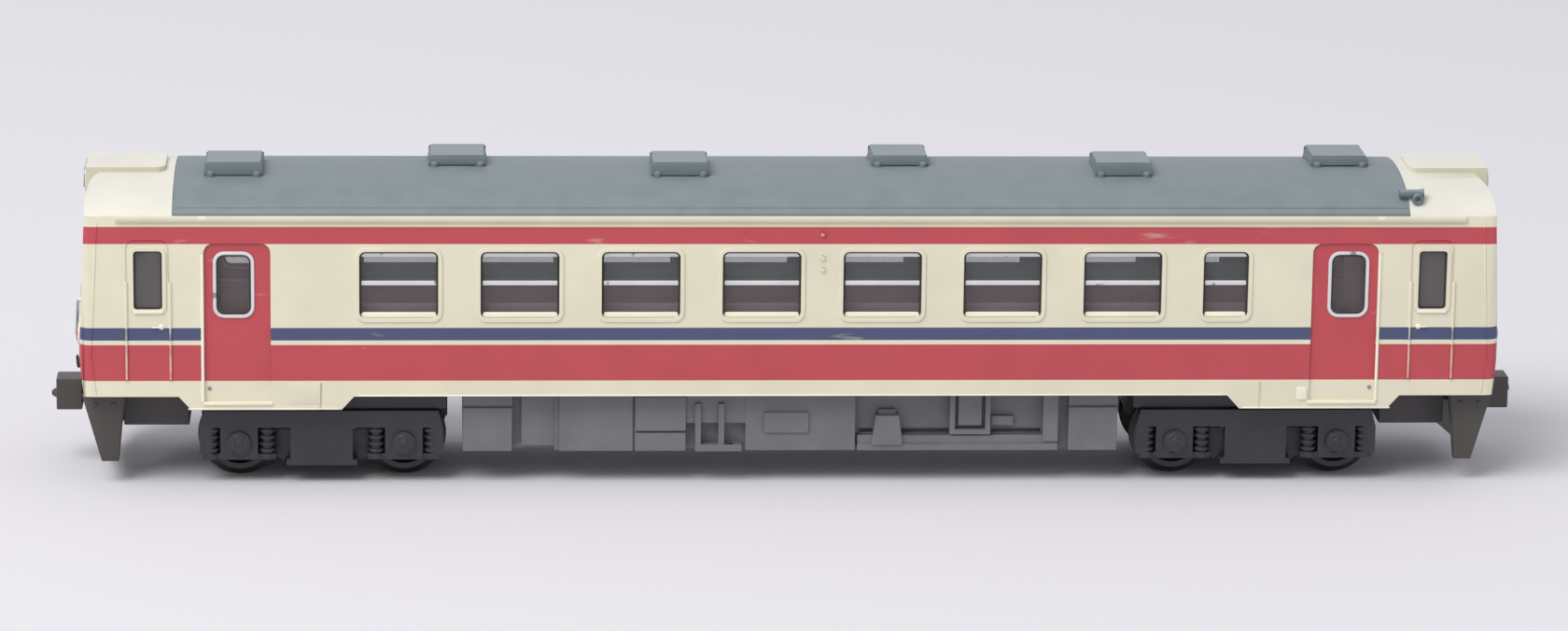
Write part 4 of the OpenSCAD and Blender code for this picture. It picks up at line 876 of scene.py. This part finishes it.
# %% [markdown]
# Three small bits on the sides. A round signal lamp under the eave lights up while a door is open; on the
# model it is a dome on its base, its red lens painted pale pink with its highlight painted in. On the near
# side alone, a small cover plate sits beside the foot of one door and a thin, wider one lies on the skirt
# beside the other, painted as the wall is.

# %% Side lamps and plates
SIDE_LAMP_X = 2.4
SIDE_LAMP_Z = 22.2
COVER_X = 43.58
COVER_Z = 8.3
COVER_W = 0.85
COVER_H = 1.1
COVER_R = 0.1
COVER_T = 0.12
SKIRT_PLATE_X = -41.4
SKIRT_PLATE_Z = 8.4
SKIRT_PLATE_W = 2.7
SKIRT_PLATE_H = 1.85
SKIRT_PLATE_R = 0.05
SKIRT_PLATE_T = 0.05

dome = turned(((0, -0.03), (0.19, -0.03), (0.18, 0.02), (0.14, 0.07), (0.08, 0.1), (0, 0.11)))
add_piece("side_signal_lamps", mirrored(moved(dome, (SIDE_LAMP_X, -RIM_FACE, SIDE_LAMP_Z)), "Y"),
          signal_pink_highlight)
cover_plate = pulled_out(flat_panel(COVER_W, COVER_H, COVER_R), COVER_T, soft=0.04)
moved(cover_plate, (COVER_X, -WALL_FACE + FIT, COVER_Z))
add_piece("cover_plate", cover_plate, trim_cream_highlight)
skirt_panel = flat_panel(SKIRT_PLATE_W, SKIRT_PLATE_H, SKIRT_PLATE_R)
skirt_plate = pulled_out(skirt_panel, SKIRT_PLATE_T, soft=0.015)
moved(skirt_plate, (SKIRT_PLATE_X, -WALL_FACE + FIT / 2, SKIRT_PLATE_Z))
add_piece("skirt_plate", skirt_plate, body_paint)

# %% [markdown]
# The lower edge of the sides is rolled over, and the roll catches the light as a fine pale line; the rod's
# pale trim cream adds painted highlight to that line. It is a rod sunk into the wall: one along the sill
# between the bogies, and one along each skirt under the doors. A helper lays a rod along the wall at a given
# height.

# %% Sill beads
SILL_BEAD_R = 0.07
SILL_BEAD_Z = 8.19
SILL_BEAD_HALF_L = 36.8
SKIRT_BEAD_Z = 7.04
SKIRT_BEAD_FROM = 38.5
SKIRT_BEAD_TO = 51.2


def wall_bead(start_x, end_x, height):
    return rod((start_x, -WALL_FACE, height), (end_x, -WALL_FACE, height), SILL_BEAD_R, 8)


sill_bead = wall_bead(-SILL_BEAD_HALF_L, SILL_BEAD_HALF_L, SILL_BEAD_Z)
skirt_bead = wall_bead(SKIRT_BEAD_FROM, SKIRT_BEAD_TO, SKIRT_BEAD_Z)
# The bead's pale trim cream is partly painted highlight.
add_piece("sill_beads", mirrored(joined(sill_bead, mirrored(skirt_bead, "X")), "Y"), trim_cream_highlight)

# %% [markdown]
# A roof ventilator is a hood on four feet: air leaves under its walls, and rain stays out. The solid hoods
# get a thin wall plate on each long side and a round foot at each corner. A plate leans as the hood's wall
# does. The hoods stand left and right of the ridge by turns, so one set is made for the near ones and a
# mirror image of it is shifted along for the others.

# %% Ventilator plates and feet
VENT_FIRST = -47.4
VENT_STEP = 18.96
VENT_SHIFT = 1.4
VENT_LEAN = 0.4 / 1.8
PLATE_W = 4.9
PLATE_H = 1.0
PLATE_R = 0.12
PLATE_T = 0.09
PLATE_MID_Z = 26.62
PLATE_OUT = 2.4
INNER_PLATE_H = 0.72
INNER_PLATE_MID_Z = 26.76
FOOT_X = 1.95
FOOT_OUT = 2.58
OUTER_FOOT_Z = 26.08
INNER_FOOT_Z = 26.33


def vent_plate(height, middle_z):
    plate = pulled_out(flat_panel(PLATE_W, height, PLATE_R), PLATE_T, soft=0.04)
    turned_by(plate, -VENT_LEAN, "X")
    return moved(plate, (0, -PLATE_OUT + (middle_z - PLATE_MID_Z) * VENT_LEAN, middle_z))


def vent_feet(roof_z):
    foot = turned(((0, -0.2), (0.34, -0.2), (0.34, 0.2), (0.28, 0.32), (0.14, 0.38), (0, 0.39)), 14)
    turned_by(foot, -pi / 2, "X")
    return repeated(foot, [(x, -FOOT_OUT, roof_z) for x in (-FOOT_X, FOOT_X)])


outer_side = joined(vent_plate(PLATE_H, PLATE_MID_Z), vent_feet(OUTER_FOOT_Z))
inner_side = joined(vent_plate(INNER_PLATE_H, INNER_PLATE_MID_Z), vent_feet(INNER_FOOT_Z))
turned_by(inner_side, pi, "Z")
hood = moved(joined(outer_side, inner_side), (0, -VENT_SHIFT, 0))
far_hood = hood.copy()
turned_by(far_hood, pi, "Z")
near_hoods = repeated(hood, [(VENT_FIRST + VENT_STEP * place, 0, 0) for place in (0, 2, 4)])
far_hoods = repeated(far_hood, [(VENT_FIRST + VENT_STEP * place, 0, 0) for place in (1, 3, 5)])
add_piece("vent_plates", joined(near_hoods, far_hoods), vent_grey)

# %% [markdown]
# Two small things finish the roof. A thin bead runs along each edge of the grey panel and keeps rain off the
# sides, so it is a long rod sunk halfway into the shoulder of the roof. The horn is held by a round clamp
# with a bolt hole, which is a turned ring round its foot.

# %% Roof beads and horn clamp
BEAD_Y = 8.77
BEAD_Z = 24.4
BEAD_HALF_L = 52.2
ROOF_BEAD_R = 0.08
CLAMP_Z = 25.1
CLAMP_FROM_END = 0.55
CLAMP_OUT = 0.06

horn_low, horn_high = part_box("horn")
clamp_x = horn_high.x / MM - CLAMP_FROM_END
clamp_y = horn_low.y / MM - CLAMP_OUT
bead = rod((-BEAD_HALF_L, -BEAD_Y, BEAD_Z), (BEAD_HALF_L, -BEAD_Y, BEAD_Z), ROOF_BEAD_R)
add_piece("roof_beads", mirrored(bead, "Y"), roof_grey)
clamp = turned(((0, -0.35), (0.5, -0.35), (0.5, 0.08), (0.42, 0.16), (0.26, 0.16), (0.2, 0.08), (0.18, -0.1),
                (0, -0.1)))
add_piece("horn_clamp", moved(clamp, (clamp_x, clamp_y, CLAMP_Z)), vent_grey)

# %% [markdown]
# The two fronts are alike: one is the other turned half a turn. A front tucks in below its waist and leans
# back above it. Its trim is drawn flat, at the right height, and a helper then lays each point on the face
# and adds the second front.

# %% Laying trim on the fronts
END_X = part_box("body_shell")[1].x / MM
SILL_Z = 8.1
WAIST_Z = 11.5
EAVE_Z = 23.8
FRONT_TUCK = 0.4
FRONT_LEAN = 0.6


def front_x(height):
    if height < WAIST_Z:
        return END_X - FRONT_TUCK * (WAIST_Z - height) / (WAIST_Z - SILL_Z)
    return END_X - FRONT_LEAN * (height - WAIST_Z) / (EAVE_Z - WAIST_Z)


def both_fronts(shape):
    """Lays a shape that was drawn facing the near side on one front, and adds the other front's."""
    bmesh.ops.bisect_plane(shape, geom=all_of(shape), plane_co=(0, 0, WAIST_Z), plane_no=(0, 0, 1))
    for point in shape.verts:
        point.co = (front_x(point.co.z) - point.co.y, point.co.x, point.co.z)
    copy = bmesh.ops.duplicate(shape, geom=all_of(shape))["geom"]
    bmesh.ops.rotate(shape, matrix=Matrix.Rotation(pi, 3, "Z"), verts=points_in(copy))
    return shape


print("front stands at", [round(front_x(z), 2) for z in (SILL_Z, WAIST_Z, EAVE_Z)], "mm")

# %% [markdown]
# Front and sides are pressed from separate sheets on the real coach. The joint shows as a fine upright bead
# beside each rounded corner. It follows the front's own line, so it is drawn as two rods that meet at the
# waist, and it wears the same bands as the wall.

# %% Corner beads
CORNER_BACK = 1.05
CORNER_BEAD_R = 0.075
CORNER_BEAD_LOW = 8.35
CORNER_BEAD_TOP = 23.2

low, waist, top = [Vector((front_x(z) - CORNER_BACK, -WALL_FACE, z))
                   for z in (CORNER_BEAD_LOW, WAIST_Z, CORNER_BEAD_TOP)]
lower_bead = rod(low, waist, CORNER_BEAD_R, 8)
upper_bead = rod(waist, top, CORNER_BEAD_R, 8)
add_piece("corner_beads", mirrored(joined(lower_bead, upper_bead), "X", "Y"), body_paint)

# %% [markdown]
# A driving front has two windscreens and a door between them for walking through to another coach. The
# photograph does not show it, so this is a plain front of its kind: rubber round the panes, a raised frame
# round the door, barrel hinges and a lever.

# %% Front windows and gangway door
SCREEN_Y = 5.9
SCREEN_W = 4.1
SCREEN_H = 5.0
SCREEN_LOW = 15.7
GANGWAY_W = 5.6
GANGWAY_LOW = 9.0
GANGWAY_TOP = 21.7
GANGWAY_FACE = 0.2
GANGWAY_WINDOW_W = 3.0
FRONT_BAND = 0.17
FRONT_SOFT = 0.04
SCREEN_BACK = 0.27
SCREEN_DEPTH = 0.32
DOOR_PANE_BACK = 0.25
DOOR_PANE_DEPTH = 0.3
SURROUND_LAP = 0.25
SURROUND_BAND = 0.27
SURROUND_R = 0.3
SURROUND_DEPTH = 0.14
SURROUND_SUNK = 0.03
HINGE_Y = -2.62
HINGE_HEIGHTS = (12.6, 16.4, 20.2)
HINGE_HALF_H = 0.45
HINGE_R = 0.15
HINGE_SUNK = 0.16
LATCH_Y = 2.2
LATCH_OUT = 0.18
LATCH_R = 0.085

screen_mid = SCREEN_LOW + SCREEN_H / 2
screen_band = flat_ring(SCREEN_W - FIT, SCREEN_H - FIT, WINDOW_R, FRONT_BAND)
screen_ring = pulled_out(screen_band, SCREEN_DEPTH, FRONT_SOFT)
screen_rings = repeated(screen_ring, [(y, SCREEN_BACK, screen_mid) for y in (-SCREEN_Y, SCREEN_Y)])
door_band = flat_ring(GANGWAY_WINDOW_W - FIT, SCREEN_H - FIT, WINDOW_R, FRONT_BAND)
door_ring = pulled_out(door_band, DOOR_PANE_DEPTH, FRONT_SOFT)
moved(door_ring, (0, GANGWAY_FACE + DOOR_PANE_BACK, screen_mid))
add_piece("front_gaskets", both_fronts(joined(screen_rings, door_ring)), seal_black)

gangway_h = GANGWAY_TOP - GANGWAY_LOW
surround_w = GANGWAY_W + 2 * SURROUND_LAP
surround_h = gangway_h + 2 * SURROUND_LAP
surround_band = flat_ring(surround_w, surround_h, SURROUND_R, SURROUND_BAND)
surround = pulled_out(surround_band, SURROUND_DEPTH, soft=0.05)
moved(surround, (0, SURROUND_SUNK, GANGWAY_LOW + gangway_h / 2))
hinge = rod((0, 0, -HINGE_HALF_H), (0, 0, HINGE_HALF_H), HINGE_R)
hinges = repeated(hinge, [(HINGE_Y, HINGE_SUNK, z) for z in HINGE_HEIGHTS])
add_piece("gangway_surrounds", both_fronts(joined(surround, hinges)), trim_cream_highlight)

latch = turned(((0, -0.02), (0.28, -0.02), (0.28, 0.04), (0.22, 0.09), (0.12, 0.11), (0.11, 0.22), (0, 0.22)))
latch_lever = rod((0.08, -LATCH_OUT, 0), (-0.9, -LATCH_OUT, 0), LATCH_R)
latch = moved(joined(latch, latch_lever), (LATCH_Y, GANGWAY_FACE, HANDLE_Z))
add_piece("gangway_latches", both_fronts(latch), steel)

# %% [markdown]
# A wiper is a spindle, a thin arm and a blade. The blade lies on the recessed pane, so the arm slants inwards
# from the spindle below the window. The two wipers of a front are mirror images.

# %% Wipers
WIPER_Z = 15.2
WIPER_Y = 4.6
BLADE_Y = 5.5
BLADE_SLANT = 0.45
BLADE_BACK = 0.2
BLADE_LOW = 16.4
BLADE_MIDDLE = 17.9
BLADE_TOP = 19.4
BLADE_R = 0.085
ARM_R = 0.07

spindle = turned(((0, -0.03), (0.22, -0.03), (0.22, 0.08), (0.14, 0.16), (0, 0.18)))
moved(spindle, (WIPER_Y, 0, WIPER_Z))
arm = rod((WIPER_Y, -0.12, WIPER_Z), (BLADE_Y, 0.08, BLADE_MIDDLE), ARM_R)
blade = rod((BLADE_Y - BLADE_SLANT, BLADE_BACK, BLADE_LOW),
            (BLADE_Y + BLADE_SLANT, BLADE_BACK, BLADE_TOP), BLADE_R)
add_piece("wipers", both_fronts(mirrored(joined(spindle, arm, blade), "X")), seal_black)

# %% [markdown]
# Lamps sit in bright rims behind domed glasses. A rim is a closed profile turned round the lamp's axis, so
# that it has an inside wall as well as a face, and a glass is a low dome with a ring pressed into it. The
# headlamps share a thin panel on the housing above the door, the red lamps sit low at the corners.

# %% Lamp rims and glasses
HEADLAMP_Y = 1.35
HEADLAMP_Z = 25.45
HEADLAMP_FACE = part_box("headlamp_lens_2")[1].x / MM
LAMP_PANEL_W = 5.4
LAMP_PANEL_H = 2.1
LAMP_PANEL_R = 0.3
LAMP_PANEL_T = 0.05
GLASS_R = 0.67
LAMP_STEPS = 28
TAIL_LAMP_Y = 6.6
TAIL_LAMP_Z = 13.0
TAIL_LAMP_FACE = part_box("tail_lamp_lens_2")[1].x / MM


def lamp_rim(inner, outer, depth):
    return turned(((inner, -0.05), (outer, -0.05), (outer, depth * 0.6), (outer - 0.06, depth),
                   (inner + 0.06, depth), (inner, depth * 0.6), (inner, -0.05)), LAMP_STEPS)


housing_y = front_x(HEADLAMP_Z) - HEADLAMP_FACE
panel_y = housing_y - LAMP_PANEL_T
lamp_panel = pulled_out(flat_panel(LAMP_PANEL_W, LAMP_PANEL_H, LAMP_PANEL_R), LAMP_PANEL_T, soft=0.02)
moved(lamp_panel, (0, housing_y, HEADLAMP_Z))
add_piece("lamp_panels", both_fronts(lamp_panel), trim_cream_highlight)
head_rim = moved(lamp_rim(0.66, 0.95, 0.16), (HEADLAMP_Y, panel_y, HEADLAMP_Z))
add_piece("headlamp_rims", both_fronts(mirrored(head_rim, "X")), steel)
tail_rim = moved(lamp_rim(0.7, 0.95, 0.22), (TAIL_LAMP_Y, 0, TAIL_LAMP_Z))
add_piece("tail_lamp_rims", both_fronts(mirrored(tail_rim, "X")), trim_cream_highlight)


def lamp_glass():
    return turned(((0, -0.06), (GLASS_R, -0.06), (GLASS_R, 0.02), (GLASS_R * 0.82, 0.06),
                   (GLASS_R * 0.7, 0.05), (GLASS_R * 0.62, 0.08), (GLASS_R * 0.35, 0.12), (0, 0.13)),
                  LAMP_STEPS)


head_glass = moved(lamp_glass(), (HEADLAMP_Y, panel_y, HEADLAMP_Z))
add_piece("headlamp_glasses", both_fronts(mirrored(head_glass, "X")), headlamp_clear)
tail_glass = moved(lamp_glass(), (TAIL_LAMP_Y, front_x(TAIL_LAMP_Z) - TAIL_LAMP_FACE, TAIL_LAMP_Z))
add_piece("tail_lamp_glasses", both_fronts(mirrored(tail_glass, "X")), tail_lamp_red)

# %% [markdown]
# Shunters hold on to rails beside the gangway door. A bent rail is drawn the way a pipe is bent: a small
# circle is pulled out of the wall, swung through a quarter turn, pulled along, swung back and pushed into
# the wall again. Spin does each quarter turn.

# %% Front handrails
RAIL_Y = 3.48
RAIL_MID_Z = 13.6
RAIL_LENGTH = 3.2
RAIL_STAND = 0.5
RAIL_R = 0.12
RAIL_BEND = 0.25
RAIL_SUNK = 0.05


def pulled_end(shape, ring, way):
    more = bmesh.ops.extrude_edge_only(shape, edges=ring)["geom"]
    bmesh.ops.translate(shape, vec=way, verts=points_in(more))
    return [part for part in more if isinstance(part, bmesh.types.BMEdge) and part.is_boundary]


def swung_end(shape, ring, centre):
    points = list({point for edge in ring for point in edge.verts})
    swung = bmesh.ops.spin(shape, geom=points + ring, cent=centre, axis=(-1, 0, 0), angle=pi / 2, steps=4)
    return [part for part in swung["geom_last"] if isinstance(part, bmesh.types.BMEdge)]


def bent_rail(length, stand, radius, bend):
    shape = bmesh.new()
    bmesh.ops.create_circle(shape, segments=10, radius=radius)
    turned_by(shape, pi / 2, "X")
    moved(shape, (0, RAIL_SUNK, -length / 2))
    ring = pulled_end(shape, shape.edges[:], (0, -RAIL_SUNK - stand + bend, 0))
    ring = swung_end(shape, ring, (0, -stand + bend, -length / 2 + bend))
    ring = pulled_end(shape, ring, (0, 0, length - 2 * bend))
    ring = swung_end(shape, ring, (0, -stand + bend, length / 2 - bend))
    pulled_end(shape, ring, (0, RAIL_SUNK + stand - bend, 0))
    bmesh.ops.holes_fill(shape, edges=shape.edges[:])
    return shape


rail = moved(bent_rail(RAIL_LENGTH, RAIL_STAND, RAIL_R, RAIL_BEND), (RAIL_Y, 0, RAIL_MID_Z))
add_piece("front_handrails", both_fronts(mirrored(rail, "X")), steel)

# %% [markdown]
# Coaches that run together pass current and air through cables plugged in below the waist. The sockets are
# round, with a hinged lid, on a small plate.

# %% Jumper sockets
SOCKET_Y = 4.7
SOCKET_Z = 10.0
SOCKET_PLATE_W = 1.2
SOCKET_PLATE_H = 1.3
SOCKET_PLATE_R = 0.15
SOCKET_PLATE_T = 0.12

socket_panel = flat_panel(SOCKET_PLATE_W, SOCKET_PLATE_H, SOCKET_PLATE_R)
socket_plate = pulled_out(socket_panel, SOCKET_PLATE_T, soft=0.04)
socket = turned(((0, 0.05), (0.42, 0.05), (0.42, 0.4), (0.5, 0.42), (0.5, 0.56), (0.4, 0.62), (0, 0.64)))
lid_hinge = rod((-0.3, -0.5, 0.5), (0.3, -0.5, 0.5), 0.1)
jumper = moved(joined(socket_plate, socket, lid_hinge), (SOCKET_Y, FIT, SOCKET_Z))
add_piece("jumper_sockets", both_fronts(mirrored(jumper, "X")), seal_black)

# %% [markdown]
# Under the coach the bogies look solid and dark, because brake gear fills them between the wheels. Each wheel
# has a curved block on the side towards the middle of the bogie, hung from the frame, and a beam joins the
# two blocks of an axle. A block is a rectangle spun through part of a turn about the axle, a little outside
# the flange. All of it rides on its bogie and turns with it.

# %% Brake gear
AXLE_Z = 3.6
AXLE_FROM_PIVOT = 7.0
BLOCK_INNER = 3.72
BLOCK_OUTER = 4.28
BLOCK_NEAR = 5.6
BLOCK_FAR = 4.2
BLOCK_SWEEP = radians(58)
HANGER_LOW = 0.4
HANGER_TOP = 2.6
HANGER_R = 0.24
BEAM_DROP = 0.9
BEAM_R = 0.26
BOGIE_X = 40.0


def brake_block():
    """A block hugging a wheel whose axle is at the origin, on its right."""
    shape = bmesh.new()
    corners = ((BLOCK_INNER, BLOCK_NEAR), (BLOCK_OUTER, BLOCK_NEAR),
               (BLOCK_OUTER, BLOCK_FAR), (BLOCK_INNER, BLOCK_FAR))
    points = [shape.verts.new((radius, -side, 0)) for radius, side in corners]
    for start, end in zip(points, points[1:] + points[:1]):
        shape.edges.new((start, end))
    turned_by(shape, BLOCK_SWEEP / 2, "Y")
    bmesh.ops.spin(shape, geom=all_of(shape), cent=(0, 0, 0), axis=(0, 1, 0), angle=-BLOCK_SWEEP, steps=8)
    bmesh.ops.holes_fill(shape, edges=shape.edges[:])
    return shape


def brake_gear(bogie_x):
    hang_x = (BLOCK_INNER + BLOCK_OUTER) / 2
    hang_y = (BLOCK_NEAR + BLOCK_FAR) / 2
    hanger = rod((hang_x, -hang_y, HANGER_LOW), (hang_x, -hang_y, HANGER_TOP), HANGER_R)
    side = mirrored(joined(brake_block(), hanger), "Y")
    beam = rod((hang_x, -BLOCK_NEAR, -BEAM_DROP), (hang_x, BLOCK_NEAR, -BEAM_DROP), BEAM_R)
    axle = moved(joined(side, beam), (-AXLE_FROM_PIVOT, 0, AXLE_Z))
    return moved(mirrored(axle, "X"), (bogie_x, 0, 0))


add_piece("brake_gear_1", brake_gear(-BOGIE_X), bogie_dark, "bogie_1")
add_piece("brake_gear_2", brake_gear(BOGIE_X), bogie_dark, "bogie_2")

# %% [markdown]
# The ends of the axles run in boxes on the side frames. Each box has a round cover held by four bolts. The
# cover is turned, and one small bolt is set four times round it.

# %% Axle covers
COVER_FACE = 7.83
BOLT_STEP = 0.3692

cover = turned(((0, 0), (0.78, 0), (0.78, 0.05), (0.72, 0.09), (0.34, 0.09), (0.28, 0.14), (0, 0.15)), 24)
bolt = turned(((0, 0.05), (0.11, 0.05), (0.11, 0.13), (0.07, 0.16), (0, 0.16)), 6)
bolts = repeated(bolt, [(x, 0, z) for x in (-BOLT_STEP, BOLT_STEP) for z in (-BOLT_STEP, BOLT_STEP)])
covers = moved(joined(cover, bolts), (AXLE_FROM_PIVOT, -COVER_FACE, AXLE_Z))
mirrored(covers, "X", "Y")
second_covers = covers.copy()
add_piece("axle_covers_1", moved(covers, (-BOGIE_X, 0, 0)), bogie_dark, "bogie_1")
add_piece("axle_covers_2", moved(second_covers, (BOGIE_X, 0, 0)), bogie_dark, "bogie_2")

# %% [markdown]
# Little light gets through a real bogie, because plates close it from behind. Two long plates lie on the
# inner face of each side frame, between the axles, and leave a narrow slot where daylight shows. Over the
# inner wheels a guard hangs from the floor. It stays with the coach, just above the frames, which swing
# below it.

# %% Back plates and wheel guards
BACK_FACE = 6.2
BACK_DEPTH = 0.16
BACK_HALF_L = 6.2
BACK_R = 0.1
BACK_HEIGHTS = ((2.0, 4.5), (5.0, 6.3))
GUARD_Y = 6.85
GUARD_X = (29.4, 38.2)
GUARD_Z = (6.46, 8.05)
GUARD_T = 0.25
GUARD_R = 0.15


def back_plates(bogie_x):
    plates = []
    for low, high in BACK_HEIGHTS:
        plate = pulled_out(flat_panel(2 * BACK_HALF_L, high - low, BACK_R), BACK_DEPTH, soft=0.03)
        plates.append(moved(plate, (bogie_x, -BACK_FACE + BACK_DEPTH, (low + high) / 2)))
    return mirrored(joined(*plates), "Y")


add_piece("bogie_backs_1", back_plates(-BOGIE_X), bogie_dark, "bogie_1")
add_piece("bogie_backs_2", back_plates(BOGIE_X), bogie_dark, "bogie_2")

guard_panel = flat_panel(GUARD_X[1] - GUARD_X[0], GUARD_Z[1] - GUARD_Z[0], GUARD_R)
guard = pulled_out(guard_panel, GUARD_T, soft=0.05)
moved(guard, (sum(GUARD_X) / 2, -GUARD_Y, sum(GUARD_Z) / 2))
add_piece("wheel_guards", mirrored(guard, "X", "Y"), bogie_dark)

# %% [markdown]
# The ploughs' side plates carry a wear plate that reaches a little past their leading edge. It is one flat
# face whose lower corners are drawn in, pulled out to a thin plate, with two bolts below the floor.

# %% Plough plates
WEAR_Y = 7.4
WEAR_TOP = 7.9
WEAR_LOW = 2.0
WEAR_INNER = (56.75, 57.25)
WEAR_OUTER = (60.3, 58.65)
WEAR_T = 0.12
WEAR_BOLTS_X = (57.6, 59.2)
WEAR_BOLTS_Z = 7.0

wear = flat_panel(1, WEAR_TOP - WEAR_LOW, 0)
for point in wear.verts:
    edge_x = WEAR_INNER if point.co.x < 0 else WEAR_OUTER
    point.co.x = edge_x[0] if point.co.z > 0 else edge_x[1]
wear = moved(pulled_out(wear, WEAR_T, soft=0.04), (0, -WEAR_Y, (WEAR_TOP + WEAR_LOW) / 2))
wear_bolt = turned(((0, 0.05), (0.2, 0.05), (0.2, 0.2), (0.14, 0.26), (0, 0.27)), 12)
wear_bolts = repeated(wear_bolt, [(x, -WEAR_Y, WEAR_BOLTS_Z) for x in WEAR_BOLTS_X])
add_piece("plough_plates", mirrored(joined(wear, wear_bolts), "X", "Y"), coupler_dark)
